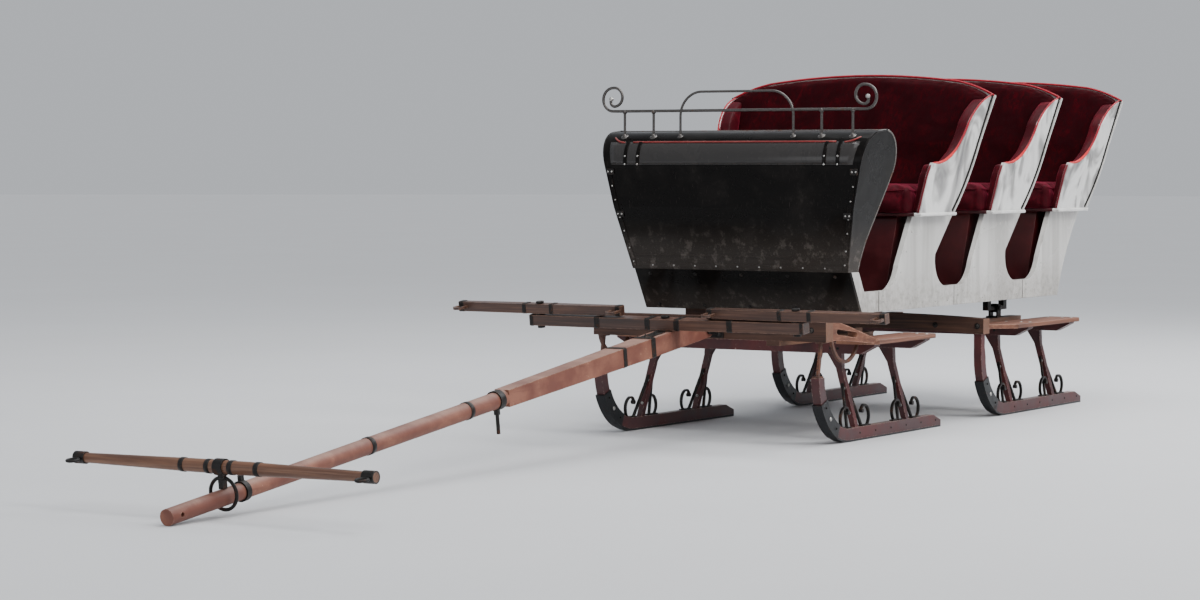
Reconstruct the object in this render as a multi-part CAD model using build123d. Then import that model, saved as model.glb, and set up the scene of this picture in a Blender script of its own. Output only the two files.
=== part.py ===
from build123d import *
import math
import os

os.makedirs("parts", exist_ok=True)

# Horse drawn sleigh on two bobs, in millimetres
# Lengths along the sleigh are first laid out from the rear bob and moved to the middle at export

# Bobs
TRACK = 1000.0
BOB_PITCH = 1510.0
RUNNER_W = 36.0
RUNNER_H = 46.0
POST_D = 36.0
SHOE_T = 8.0
NOSE_X = 182.0
NOSE_R = 270.0
TAIL_X = -930.0
SHOE_CAP_DEG = 66.0
CHEEK_T = 4.0
BENCH_X = (-165.0, -625.0)
BENCH_T = 26.0
KNEE_W = 24.0
KNEE_IN = 80.0
BEAM_W = 50.0
BEAM_H = 42.0
BEAM_TOP = 390.0
BEAM_OVER = 100.0
BEAM_BEVEL = 65.0
STEP_T = 18.0
STEP_OVER = 120.0
STEP_UNDER = 45.0
STEP_EDGE_R = 4.0
BEARER_Y = 300.0
BEARER_W = 60.0
BEARER_T = 20.0
END_BEAM_T = 56.0
END_BEAM_OVER = 30.0
END_BEAM_SINK = 20.0

# Front end of the front bob
FRONT_BEAM_AHEAD = 90.0
FRONT_BEAM_T = 60.0
FRONT_BEAM_H = 90.0
FRONT_BEAM_OVER = 35.0

# Turntable
KING_BACK = 410.0
KING_R = 15.0
KING_GAP = 0.06
RING_R_OUT = 190.0
RING_R_IN = 140.0
RING_T = 13.0
RING_GAP = 0.5
BOLSTER_W = 90.0
BOB_BOLSTER_H = 28.0
BODY_BOLSTER_HALF = 400.0
BODY_BOLSTER_H = 42.5

# Rear rocker
ROCK_X = -445.0
ROCK_UP = 42.0
ROCK_PIN_R = 10.0
ROCK_GAP = 0.06
BRACKET_Y = 300.0
BRACKET_W = 26.0
POST_OFF = 85.0
POST_W = 34.0

# Body, with heights above its underside
BODY_HALF = 500.0
SIDE_T = 22.0
FLOOR_T = 18.0
SILL_Z = 85.0
SEAT_Z = 383.0
ROW_PITCH = 715.0
ROWS = 3
PANEL_T = 18.0
FRONT_OVER_KING = 180.0
BOARD_W = 159.0
GROOVE = 3.0

# Seats, with heights above the body's underside
SEAT_BOARD_T = 15.0
SEAT_BOARD_OVER = 57.0
END_T = 14.0
END_OVER = 50.0
END_FLARE = 82.0
BACK_BEND_Z = 683.0
BACK_TOP_Z = 890.0
CROWN_Z = 983.0
SHELL_T = 14.0
PAD_GAP = 0.3
PAD_T = 46.0
ARM_PAD_LOW_T = 24.0
ARM_PAD_TOP_T = 56.0
CUSHION_H = 106.0
RISER_IN = 60.0

# Dash, with heights above the body's underside
DASH_BOTTOM = 167.0
DASH_TOP = 736.0
DASH_FLARE = 122.0
DASH_T = 4.5
RAIL_AHEAD = 145.0
RAIL_Z = 818.0
RAIL_R = 6.0

# Pole and pulling gear
HINGE_OUT = 60.0
HINGE_R = 9.0
HINGE_GAP = 0.06
POLE_LEN = 3300.0
POLE_TIP_R = 27.0
POLE_W = 84.0
POLE_H = 74.0
POLE_SQ_END = 450.0
POLE_ROUND_S = 1430.0
POLE_ROUND_R = 31.0
EVENER_S = 260.0
EVENER_HALF = 620.0
EVENER_W = 64.0
EVENER_H = 42.0
TREE_Y = 580.0
TREE_HALF = 385.0
TREE_W = 44.0
TREE_H = 38.0
PIN_R = 9.0
PIN_GAP = 0.06
WEAR_T = 5.5
FACE_GAP = 0.5
YOKE_BACK = 280.0
YOKE_HALF = 600.0
YOKE_R = 22.0
YOKE_RING_R = 46.0
YOKE_WIRE_R = 6.0

# Derived sizes
HALF = TRACK / 2
BEAM_HALF = HALF + BEAM_OVER
STEP_OUT = HALF + STEP_OVER
STEP_IN = HALF - STEP_UNDER
FRONT_BEAM_HALF = HALF + FRONT_BEAM_OVER
RUNNER_TOP = SHOE_T + RUNNER_H
BEAM_BOT = BEAM_TOP - BEAM_H
STEP_TOP = BEAM_TOP + STEP_T
BEARER_TOP = BEAM_TOP + BEARER_T
KING_X = BOB_PITCH - KING_BACK
FRONT_X = KING_X + FRONT_OVER_KING
FRONT_BEAM_X = BOB_PITCH + FRONT_BEAM_AHEAD
ROCK_Z = BEARER_TOP + ROCK_UP
BODY_BOTTOM = BEARER_TOP + BOB_BOLSTER_H + 2 * RING_T + RING_GAP + BODY_BOLSTER_H
HINGE_X = FRONT_BEAM_X + FRONT_BEAM_T + HINGE_OUT
HINGE_Z = BEARER_TOP + FRONT_BEAM_H / 2
POLE_DROP = math.degrees(math.asin((HINGE_Z - POLE_TIP_R) / POLE_LEN))
LAST_ROW = -ROW_PITCH * (ROWS - 1)
SEAT_BOARD_HALF = BODY_HALF + SEAT_BOARD_OVER
END_BASE_Y = BODY_HALF + END_OVER
CUSHION_HALF = END_BASE_Y - END_T - ARM_PAD_LOW_T - 3.0
RISER_HALF = BODY_HALF - RISER_IN
RAIL_X = FRONT_X + RAIL_AHEAD
SEAT_END_LOW = SEAT_Z + SEAT_BOARD_T
BACK_BEND_X = 394.0
BACK_TOP_X = 308.0
BACK_LOW_X = 545.0
BACK_LEAN = (BACK_BEND_X - BACK_TOP_X) / (BACK_TOP_Z - BACK_BEND_Z)
CROWN_X = BACK_TOP_X - BACK_LEAN * (CROWN_Z - BACK_TOP_Z)
X_REAR = CROWN_X - SHELL_T + LAST_ROW
X_TIP = HINGE_X + POLE_LEN * math.cos(math.radians(POLE_DROP)) + POLE_TIP_R * math.sin(
    math.radians(POLE_DROP))
SHIFT = -(X_REAR + X_TIP) / 2


# Small drawing helpers

def wire_face(plane, start, steps):
    edges = []
    here = start
    for step in steps:
        if len(step) == 2:
            there = step
            edges.append(Edge.make_line(Vector(here[0], here[1], 0), Vector(there[0], there[1], 0)))
        else:
            mid = (step[0], step[1])
            there = (step[2], step[3])
            edges.append(Edge.make_three_point_arc(
                Vector(here[0], here[1], 0), Vector(mid[0], mid[1], 0), Vector(there[0], there[1], 0)))
        here = there
    if math.hypot(here[0] - start[0], here[1] - start[1]) > 1e-6:
        edges.append(Edge.make_line(Vector(here[0], here[1], 0), Vector(start[0], start[1], 0)))
    return plane * Face(Wire(edges))


def side_cut(start, steps, y0, y1):
    plane = Plane(origin=(0, y0, 0), x_dir=(1, 0, 0), z_dir=(0, -1, 0))
    return extrude(wire_face(plane, start, steps), amount=y1 - y0, dir=(0, 1, 0))


def cross_cut(start, steps, x0, x1):
    plane = Plane(origin=(x0, 0, 0), x_dir=(0, 1, 0), z_dir=(1, 0, 0))
    return extrude(wire_face(plane, start, steps), amount=x1 - x0, dir=(1, 0, 0))


def plan_cut(start, steps, z0, z1):
    plane = Plane(origin=(0, 0, z0), x_dir=(1, 0, 0), z_dir=(0, 0, 1))
    return extrude(wire_face(plane, start, steps), amount=z1 - z0, dir=(0, 0, 1))


def block(x0, x1, y0, y1, z0, z1):
    centre = Pos((x0 + x1) / 2, (y0 + y1) / 2, (z0 + z1) / 2)
    return centre * Box(abs(x1 - x0), abs(y1 - y0), abs(z1 - z0))


def rod_x(x0, x1, y, z, r):
    return Pos((x0 + x1) / 2, y, z) * Rot(0, 90, 0) * Cylinder(r, abs(x1 - x0))


def rod_y(x, y0, y1, z, r):
    return Pos(x, (y0 + y1) / 2, z) * Rot(90, 0, 0) * Cylinder(r, abs(y1 - y0))


def rod_z(x, y, z0, z1, r):
    return Pos(x, y, (z0 + z1) / 2) * Cylinder(r, abs(z1 - z0))


def bar_between(p, q, w, h):
    p = Vector(*p)
    q = Vector(*q)
    run = q - p
    plane = Plane(origin=p, z_dir=run.normalized())
    return extrude(plane * Rectangle(w, h), amount=run.length, dir=run.normalized())


def mirror_y(shape):
    return mirror(shape, about=Plane.XZ)


def both_sides(shape):
    return [shape, mirror_y(shape)]


# Finished pieces gathered by node
NODES = {}


def put(node, *shapes):
    keep = NODES.setdefault(node, [])
    for shape in shapes:
        if isinstance(shape, (list, tuple)):
            keep.extend(shape)
        else:
            keep.append(shape)


# Runners, shoes and their irons
def runner_wood(b, post_top):
    xc = b + NOSE_X - NOSE_R
    r_out = NOSE_R - SHOE_T
    r_in = r_out - RUNNER_H
    s = math.sqrt(0.5)
    start = (b + TAIL_X, SHOE_T)
    steps = [(xc, SHOE_T),
             (xc + r_out * s, NOSE_R - r_out * s, xc + r_out, NOSE_R)]
    if post_top > NOSE_R + 10:
        steps.append((xc + r_out, post_top))
        steps.append((xc + r_out - POST_D, post_top))
        steps.append((xc + r_out - POST_D, NOSE_R + 0.42 * (post_top - NOSE_R)))
    steps.append((xc + r_in, NOSE_R))
    steps.append((xc + r_in * s, NOSE_R - r_in * s, xc, RUNNER_TOP))
    steps.append((b + TAIL_X + 70.0, RUNNER_TOP))
    steps.append((b + TAIL_X, SHOE_T + 0.45 * RUNNER_H))
    return side_cut(start, steps, HALF - RUNNER_W / 2, HALF + RUNNER_W / 2)


def runner_shoe(b):
    xc = b + NOSE_X - NOSE_R
    cap = math.radians(SHOE_CAP_DEG)
    low = math.radians(24.0)
    r_out = NOSE_R
    r_mid = NOSE_R - SHOE_T
    r_in = r_mid - RUNNER_H

    def at(r, a):
        return (xc + r * math.sin(a), NOSE_R - r * math.cos(a))

    half = cap / 2
    band = side_cut((b + TAIL_X, 0), [
        (xc, 0), at(r_out, half) + at(r_out, cap), at(r_mid, cap),
        at(r_mid, half) + (xc, SHOE_T), (b + TAIL_X, SHOE_T)],
        HALF - RUNNER_W / 2, HALF + RUNNER_W / 2)
    mid = (cap + low) / 2
    steps = [at(r_out, mid) + at(r_out, cap), at(r_in - 2.0, cap),
             at(r_in - 2.0, mid) + at(r_in - 2.0, low)]
    wide = RUNNER_W / 2 + CHEEK_T
    cheek_a = side_cut(at(r_out, low), steps, HALF - wide, HALF - RUNNER_W / 2)
    cheek_b = side_cut(at(r_out, low), steps, HALF + RUNNER_W / 2, HALF + wide)
    lip = side_cut(at(r_in, low + 0.1), [
        at(r_in, mid) + at(r_in, cap - 0.02), at(r_in - 2.0, cap - 0.02),
        at(r_in - 2.0, mid) + at(r_in - 2.0, low + 0.1)],
        HALF - RUNNER_W / 2, HALF + RUNNER_W / 2)
    return band + cheek_a + cheek_b + lip


def bench_frame(x):
    start = (-BEAM_HALF + BEAM_BEVEL, BEAM_BOT)
    beam = cross_cut(start, [
        (BEAM_HALF - BEAM_BEVEL, BEAM_BOT), (BEAM_HALF, BEAM_TOP - 8.0), (BEAM_HALF, BEAM_TOP),
        (-BEAM_HALF, BEAM_TOP), (-BEAM_HALF, BEAM_TOP - 8.0)], x - BEAM_W / 2, x + BEAM_W / 2)
    top_y = HALF - KNEE_IN
    lean = KNEE_IN / (BEAM_BOT - RUNNER_TOP)
    neck = BEAM_BOT - 60.0
    neck_y = top_y + lean * 60.0
    half = KNEE_W / 2
    knee = cross_cut((top_y - half - 24.0, BEAM_BOT), [
        (top_y + half + 16.0, BEAM_BOT), (neck_y + half + 2.0, neck), (HALF + half, RUNNER_TOP),
        (HALF - half, RUNNER_TOP), (neck_y - half - 2.0, neck)],
        x - BENCH_T / 2, x + BENCH_T / 2)
    return beam + knee + mirror_y(knee)


def knee_stay(x, side):
    lean = KNEE_IN / (BEAM_BOT - RUNNER_TOP)
    z_top = 228.0
    y_top = HALF - lean * (z_top - RUNNER_TOP)
    p = (x + side * (BENCH_T / 2 + 1.0), y_top, z_top)
    q = (x + side * (BENCH_T / 2 + 52.0), HALF, RUNNER_TOP - 6.0)
    stay = bar_between(p, q, 10.0, 10.0)
    foot = block(x + side * (BENCH_T / 2 + 36.0), x + side * (BENCH_T / 2 + 66.0),
                 HALF - 12.0, HALF + 12.0, RUNNER_TOP, RUNNER_TOP + 5.0)
    low = block(x - 200.0, x + 200.0, HALF - 80.0, HALF + 80.0, 0.0, RUNNER_TOP)
    return stay - low + foot


def scroll_iron(x, side):
    t = 3.5

    def pt(dx, z):
        return (x + side * dx, z)

    base = RUNNER_TOP
    y0 = HALF - 6.0
    y1 = HALF + 6.0
    outer = side_cut(pt(104.0 + t, base), [
        pt(124.0 + t, base + 46.0) + pt(88.0, base + 84.0 + t),
        pt(88.0, base + 84.0 - t),
        pt(124.0 - t, base + 44.0) + pt(104.0 - t, base)], y0, y1)
    curl = side_cut(pt(88.0, base + 84.0 + t), [
        pt(70.0, base + 82.0 + t) + pt(56.0, base + 70.0),
        pt(61.0, base + 66.0),
        pt(72.0, base + 75.0 + t) + pt(88.0, base + 84.0 - t)], y0, y1)
    ball = rod_y(x + side * 60.0, y0 - 2.0, y1 + 2.0, base + 62.0, 8.5)
    foot = block(x + side * 90.0, x + side * 128.0, y0 - 3.0, y1 + 3.0, base, base + 5.0)
    return outer + curl + ball + foot


def step_board(b, front_x, cut):
    rear = b - 690.0
    board = plan_cut((rear, STEP_IN), [
        (rear, STEP_OUT - 22.0), (rear + 26.0, STEP_OUT), (front_x - cut, STEP_OUT),
        (front_x, STEP_OUT - cut), (front_x, STEP_IN)], BEAM_TOP, STEP_TOP)
    return fillet(board.edges().filter_by(Axis.X), STEP_EDGE_R)


REAR_POST_TOP = BEAM_TOP - END_BEAM_SINK
for bob, b in (("rear", 0.0), ("front", BOB_PITCH)):
    post = REAR_POST_TOP if bob == "rear" else 0.0
    wood = runner_wood(b, post)
    put(bob + "_runners", both_sides(wood))
    put(bob + "_runner_shoes", both_sides(runner_shoe(b)))
    irons = []
    for x in BENCH_X:
        bench = bench_frame(b + x)
        put(bob + "_bench_frames", bench)
        for side in (-1, 1):
            irons.extend(both_sides(knee_stay(b + x, side) - wood - bench))
            irons.extend(both_sides(scroll_iron(b + x, side) - wood))
    put(bob + "_runner_irons", irons)

# Rear bob top
put("rear_step_boards", both_sides(step_board(0.0, NOSE_X - END_BEAM_T - SHOE_T, 108.0)))
rear_beam_x0 = NOSE_X - SHOE_T - END_BEAM_T
rear_beam_x1 = NOSE_X - SHOE_T + 6.0
end_half = HALF + END_BEAM_OVER
put("rear_end_beam", cross_cut((-end_half, REAR_POST_TOP), [
    (0.0, REAR_POST_TOP + 12.0, end_half, REAR_POST_TOP), (end_half, REAR_POST_TOP + 66.0),
    (0.0, REAR_POST_TOP + 80.0, -end_half, REAR_POST_TOP + 66.0)], rear_beam_x0, rear_beam_x1))
bearer_y0 = BEARER_Y - BEARER_W / 2
bearer_y1 = BEARER_Y + BEARER_W / 2
put("rear_bearers", both_sides(block(-670.0, rear_beam_x0, bearer_y0, bearer_y1, BEAM_TOP, BEARER_TOP)))


# Rocker lugs on the rear bob and brackets under the body
def rocker_lugs():
    half_gap = BRACKET_W / 2 + 2.0
    lug_t = 8.0
    out = block(ROCK_X - 34.0, ROCK_X + 34.0, bearer_y0 + 2.0, bearer_y1 - 2.0, BEARER_TOP,
                BEARER_TOP + 6.0)
    for s in (-1, 1):
        ya = BRACKET_Y + s * half_gap
        yb = BRACKET_Y + s * (half_gap + lug_t)
        lo, hi = min(ya, yb), max(ya, yb)
        out = out + block(ROCK_X - 18.0, ROCK_X + 18.0, lo, hi, BEARER_TOP, ROCK_Z)
        out = out + rod_y(ROCK_X, lo, hi, ROCK_Z, ROCK_PIN_R + 8.0)
    reach = half_gap + lug_t + 3.0
    return out + rod_y(ROCK_X, BRACKET_Y - reach, BRACKET_Y + reach, ROCK_Z, ROCK_PIN_R)


def rocker_bracket():
    y0 = BRACKET_Y - BRACKET_W / 2
    y1 = BRACKET_Y + BRACKET_W / 2
    out = block(ROCK_X - 130.0, ROCK_X + 130.0, y0 - 12.0, y1 + 12.0, BODY_BOTTOM - 7.0, BODY_BOTTOM)
    for s in (-1, 1):
        xp = ROCK_X + s * POST_OFF
        out = out + block(xp - POST_W / 2, xp + POST_W / 2, y0, y1, ROCK_Z - 8.0, BODY_BOTTOM - 7.0)
    out = out + block(ROCK_X - POST_OFF, ROCK_X + POST_OFF, y0, y1, ROCK_Z - 8.0, ROCK_Z + 8.0)
    out = out + rod_y(ROCK_X, y0, y1, ROCK_Z, ROCK_PIN_R + 10.0)
    return out - rod_y(ROCK_X, y0 - 5.0, y1 + 5.0, ROCK_Z, ROCK_PIN_R + ROCK_GAP)


put("rear_rocker_lugs", both_sides(rocker_lugs()))
put("rear_rocker_brackets", both_sides(rocker_bracket()))

# Front bob top
FB = BOB_PITCH
beam_z0 = BEARER_TOP
beam_z1 = beam_z0 + FRONT_BEAM_H
front_beam = block(FRONT_BEAM_X, FRONT_BEAM_X + FRONT_BEAM_T, -FRONT_BEAM_HALF, FRONT_BEAM_HALF,
                   beam_z0, beam_z1)
put("front_beam", front_beam)
bolster_z1 = BEARER_TOP + BOB_BOLSTER_H
frame = block(KING_X - BOLSTER_W / 2 - 5.0, KING_X + BOLSTER_W / 2 + 5.0, -385.0, 385.0,
              BEARER_TOP, bolster_z1)
for s in (-1, 1):
    frame = frame + block(FB - 670.0, FRONT_BEAM_X + FRONT_BEAM_T, s * BEARER_Y - BEARER_W / 2,
                          s * BEARER_Y + BEARER_W / 2, BEAM_TOP, BEARER_TOP)
frame = frame - rod_z(KING_X, 0, BEAM_TOP, bolster_z1 + 5.0, KING_R + KING_GAP)
put("front_bearers", frame)


def fender():
    board = step_board(FB, FB - 90.0, 60.0)
    sections = [(FB - 210.0, HALF + 75.0, 86.0, BEAM_TOP + 9.0, 17.0),
                (FB - 135.0, HALF + 68.0, 72.0, BEAM_TOP + 16.0, 22.0),
                (FB - 60.0, HALF + 54.0, 46.0, BEAM_TOP + 34.0, 42.0),
                (FB + 15.0, HALF + 37.0, 26.0, BEAM_TOP + 52.0, 64.0),
                (FRONT_BEAM_X, HALF + 23.0, 18.0, BEAM_TOP + 62.0, 80.0)]
    faces = []
    for x, y, w, z, h in sections:
        plane = Plane(origin=(x, y, z), x_dir=(0, 1, 0), z_dir=(1, 0, 0))
        faces.append(plane * Rectangle(w, h))
    sweep_up = loft([f.faces()[0] for f in faces])
    slot_face = Plane(origin=(FB + 8.0, HALF - 20.0, BEAM_TOP + 50.0), x_dir=(1, 0, 0.16),
                      z_dir=(0, -1, 0)) * SlotOverall(112.0, 22.0)
    slot = extrude(slot_face, amount=120.0, dir=(0, 1, 0))
    return board + sweep_up - slot


put("front_step_boards", both_sides(fender()))


def nose_rod():
    x_low = FB + NOSE_X - SHOE_T - RUNNER_H / 2
    rod = bar_between((FRONT_BEAM_X + 36.0, HALF, beam_z0), (x_low, HALF, NOSE_R), 16.0, 10.0)
    head = block(FRONT_BEAM_X + 14.0, FRONT_BEAM_X + 56.0, HALF - 14.0, HALF + 14.0, beam_z0 - 6.0, beam_z0)
    half = RUNNER_H / 2 - 2.0
    foot = block(x_low - half, x_low + half, HALF - 14.0, HALF + 14.0, NOSE_R, NOSE_R + 6.0)
    trim = block(x_low - 90.0, x_low + 90.0, HALF - 40.0, HALF + 40.0, NOSE_R - 40.0, NOSE_R)
    top = block(x_low - 120.0, x_low + 120.0, HALF - 40.0, HALF + 40.0, beam_z0, beam_z0 + 40.0)
    return rod - trim - top + head + foot


def brace_loop():
    t = 6.5
    y0 = HALF + 34.0 - 6.0
    y1 = y0 + 12.0
    z_end = BEAM_TOP
    x_end = FB + BENCH_X[0] + BEAM_W / 2 + 22.0
    x_mid = (x_end + FRONT_BEAM_X + 12.0) / 2 - 8.0
    z_dip = BEAM_TOP - 64.0
    return side_cut((FRONT_BEAM_X + 12.0 + t, beam_z0), [
        (x_mid, z_dip - t, x_end - t, z_end), (x_end + t, z_end),
        (x_mid, z_dip + t, FRONT_BEAM_X + 12.0 - t, beam_z0)], y0, y1)


put("front_end_irons", both_sides(nose_rod()), both_sides(brace_loop()))


# Hinge lugs for the pole, welded to one face plate
def pole_lugs():
    x_face = FRONT_BEAM_X + FRONT_BEAM_T
    half_gap = POLE_W / 2 + 3.0
    lug_t = 10.0
    lug_r = HINGE_R + 15.0
    plate_z0 = HINGE_Z - 40.0
    plate_z1 = HINGE_Z + 40.0
    out = block(x_face, x_face + 8.0, -half_gap - 32.0, half_gap + 32.0, plate_z0, plate_z1)
    for s in (-1, 1):
        ya = s * half_gap
        yb = s * (half_gap + lug_t)
        lo, hi = min(ya, yb), max(ya, yb)
        out = out + block(x_face, HINGE_X, lo, hi, HINGE_Z - lug_r, HINGE_Z + lug_r)
        out = out + rod_y(HINGE_X, lo, hi, HINGE_Z, lug_r)
    reach = half_gap + lug_t + 8.0
    return out + rod_y(HINGE_X, -reach, reach, HINGE_Z, HINGE_R)


put("pole_lugs", pole_lugs())

# Turntable
ring = rod_z(KING_X, 0, bolster_z1, bolster_z1 + RING_T, RING_R_OUT)
ring = ring - rod_z(KING_X, 0, bolster_z1 - 5.0, bolster_z1 + RING_T + 5.0, RING_R_IN)
put("turntable_lower_ring", ring)
upper_z0 = bolster_z1 + RING_T + RING_GAP
upper_z1 = upper_z0 + RING_T
upper = rod_z(KING_X, 0, upper_z0, upper_z1, RING_R_OUT)
upper = upper - rod_z(KING_X, 0, upper_z0 - 5.0, upper_z1 + 5.0, RING_R_IN)
put("turntable_upper_ring", upper)
bolster = block(KING_X - BOLSTER_W / 2, KING_X + BOLSTER_W / 2, -BODY_BOLSTER_HALF, BODY_BOLSTER_HALF,
                upper_z1, BODY_BOTTOM)
bolster = bolster - rod_z(KING_X, 0, upper_z1 - 5.0, BODY_BOTTOM + 5.0, KING_R)
put("body_bolster", bolster)
pin = rod_z(KING_X, 0, BEARER_TOP - 24.0, BODY_BOTTOM, KING_R)
nut = Pos(KING_X, 0, BEARER_TOP - 14.0) * extrude(RegularPolygon(KING_R + 11.0, 6), amount=12.0)
put("king_pin", pin + nut)

# Body, drawn up from its underside and then set on the bobs
body = {}


def keep_body(node, *shapes):
    body.setdefault(node, [])
    for shape in shapes:
        if isinstance(shape, (list, tuple)):
            body[node].extend(shape)
        else:
            body[node].append(shape)


# Floor, sides and ends
FRONT_LEAN = (1375.0 - 1280.0) / 167.0
front_high = FRONT_X + FRONT_LEAN * DASH_BOTTOM
tail_low = 740.0 + LAST_ROW
tail_mid = 655.0 + LAST_ROW
tail_high = 490.0 + LAST_ROW
tail_mid_z = 173.0


def side_panel():
    steps = [(tail_mid, tail_mid_z, tail_high, SEAT_Z)]
    for row in range(ROWS - 1, -1, -1):
        d = -ROW_PITCH * row
        ahead = d + ROW_PITCH
        steps.append((827.0 + d, SEAT_Z))
        steps.append((955.0 + d, SILL_Z + 98.0))
        steps.append((1000.0 + d, SILL_Z + 30.0, 1058.0 + d, SILL_Z))
        if row:
            steps.append((471.0 + ahead, SILL_Z))
            steps.append((573.0 + ahead, SILL_Z + 30.0, 604.0 + ahead, SILL_Z + 135.0))
            steps.append((438.0 + ahead, SEAT_Z))
        else:
            steps.append((FRONT_X - 18.0, SILL_Z))
            steps.append((FRONT_X + 20.0, SILL_Z + 63.0))
            steps.append((FRONT_X + 32.0, DASH_BOTTOM))
            steps.append((front_high, DASH_BOTTOM))
            steps.append((FRONT_X, 0.0))
    return side_cut((tail_low, 0.0), steps, BODY_HALF - SIDE_T, BODY_HALF)


panel = side_panel()
keep_body("side_panel_left", panel)
keep_body("side_panel_right", mirror_y(panel))
inner = BODY_HALF - SIDE_T
floor_solid = side_cut((tail_low + PANEL_T + 1.0, 0.0), [
    (FRONT_X, 0.0), (FRONT_X + FRONT_LEAN * FLOOR_T, FLOOR_T),
    (tail_low + PANEL_T - 6.0, FLOOR_T)], -inner, inner)
grooved = floor_solid
for k in range(1, int(2 * inner / BOARD_W)):
    y = -inner + k * BOARD_W
    grooved = grooved - block(tail_low, front_high, y - GROOVE / 2, y + GROOVE / 2, FLOOR_T - GROOVE, FLOOR_T + 1.0)
keep_body("floor_boards", grooved)
keep_body("front_panel", side_cut((FRONT_X, 0.0), [
    (front_high, DASH_BOTTOM), (front_high + PANEL_T, DASH_BOTTOM),
    (FRONT_X + PANEL_T, 0.0)], -BODY_HALF, BODY_HALF))
tail = side_cut((tail_low, 0.0), [
    (tail_mid, tail_mid_z, tail_high, SEAT_Z), (tail_high + PANEL_T + 4.0, SEAT_Z),
    (tail_mid + PANEL_T - 1.0, tail_mid_z, tail_low + PANEL_T, 0.0)], -inner, inner)
keep_body("tailboard", tail - floor_solid)

# Seat boxes and boards
for row in range(ROWS):
    d = -ROW_PITCH * row
    last = row == ROWS - 1
    foot_x = 530.0 if last else 600.0
    head_x = 430.0 if last else 548.0
    outer_box = side_cut((foot_x + d, FLOOR_T), [
        (head_x + d, SEAT_Z), (843.0 + d, SEAT_Z), (968.0 + d, FLOOR_T)], -RISER_HALF, RISER_HALF)
    wall = -200.0 if last else 16.5
    hole = side_cut((foot_x + d + wall, FLOOR_T - 1.0), [
        (head_x + d + wall, SEAT_Z + 1.0), (843.0 + d - 18.0, SEAT_Z + 1.0),
        (968.0 + d - 17.0, FLOOR_T - 1.0)], -RISER_HALF + 16.0, RISER_HALF - 16.0)
    box = outer_box - hole
    if last:
        box = box & side_cut((tail_low + PANEL_T, 0.0), [
            (tail_mid + PANEL_T - 1.0, tail_mid_z, tail_high + PANEL_T + 4.0, SEAT_Z),
            (900.0, SEAT_Z), (900.0, 0.0)], -inner, inner)
    keep_body("seat_boxes", box)
    board = block(516.0 + d, 862.0 + d, -SEAT_BOARD_HALF, SEAT_BOARD_HALF, SEAT_Z, SEAT_END_LOW)
    long_edges = board.edges().filter_by(Axis.Y).group_by(Axis.X)[-1]
    end_edges = board.edges().filter_by(Axis.X)
    keep_body("seat_boards", fillet(long_edges + end_edges, SEAT_BOARD_T * 0.42))


# Seat ends, shells and upholstery
BACK_MID_X = 454.0
BACK_MID_Z = SEAT_END_LOW + 135.0


def end_slab(y_low, z_low, flare, z_high, thick):
    rate = flare / (BACK_TOP_Z - SEAT_END_LOW)
    y_high = y_low + rate * (z_high - z_low)
    return cross_cut((y_low, z_low), [
        (y_high, z_high), (y_high - thick, z_high), (y_low - thick, z_low)], -4500.0, 4500.0)


def end_outline(d, inset=0.0):
    z0 = SEAT_END_LOW
    start = (BACK_LOW_X + d + inset, z0)
    steps = [(857.0 + d - inset, z0),
             (828.0 + d - inset, z0 + 153.0),
             (806.0 + d - inset, z0 + 207.0 - inset),
             (612.0 + d, z0 + 243.0 - inset, 500.0 + d + inset * 0.4, BACK_TOP_Z - 113.0 - inset),
             (432.0 + d + inset * 0.7, BACK_TOP_Z - 47.0 - inset,
              BACK_TOP_X + 10.0 + d + inset, BACK_TOP_Z - inset * 0.6),
             (BACK_BEND_X + d + inset, BACK_BEND_Z),
             (BACK_MID_X + d + inset, BACK_MID_Z, BACK_LOW_X + d + inset, z0)]
    return start, steps


def back_profile(d, front_off, rear_off):
    z_low = SEAT_Z
    z_high = CROWN_Z + 20.0
    x_bend = BACK_BEND_X + d
    lean = BACK_LEAN * (z_high - BACK_BEND_Z)
    slope = (BACK_LOW_X - BACK_MID_X) / (BACK_MID_Z - SEAT_END_LOW)
    x_low = BACK_LOW_X + d + slope * SEAT_BOARD_T
    return side_cut((x_low + rear_off, z_low), [
        (x_low + front_off, z_low),
        (BACK_MID_X + d + front_off, BACK_MID_Z, x_bend + front_off, BACK_BEND_Z),
        (x_bend - lean + front_off, z_high),
        (x_bend - lean + rear_off, z_high),
        (x_bend + rear_off, BACK_BEND_Z),
        (BACK_MID_X + d + rear_off, BACK_MID_Z, x_low + rear_off, z_low)], -900.0, 900.0)


def crown_face(half_low, z_low, side_in, drop, x0, x1):
    rate = END_FLARE / (BACK_TOP_Z - SEAT_END_LOW)
    y_top = half_low + rate * (BACK_TOP_Z - z_low) - side_in
    y_low = half_low - side_in
    shoulder_y = END_BASE_Y - 80.0
    shoulder_z = BACK_TOP_Z + (CROWN_Z - BACK_TOP_Z) * 0.667 - drop
    edge_z = BACK_TOP_Z + (CROWN_Z - BACK_TOP_Z) * 0.473 - drop
    top = CROWN_Z - drop
    return cross_cut((-y_low, z_low), [
        (y_low, z_low), (y_top, BACK_TOP_Z - drop),
        (shoulder_y + 60.0, edge_z, shoulder_y - 10.0, shoulder_z),
        (0.0, top, -shoulder_y + 10.0, shoulder_z),
        (-shoulder_y - 60.0, edge_z, -y_top, BACK_TOP_Z - drop)], x0, x1)


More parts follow.
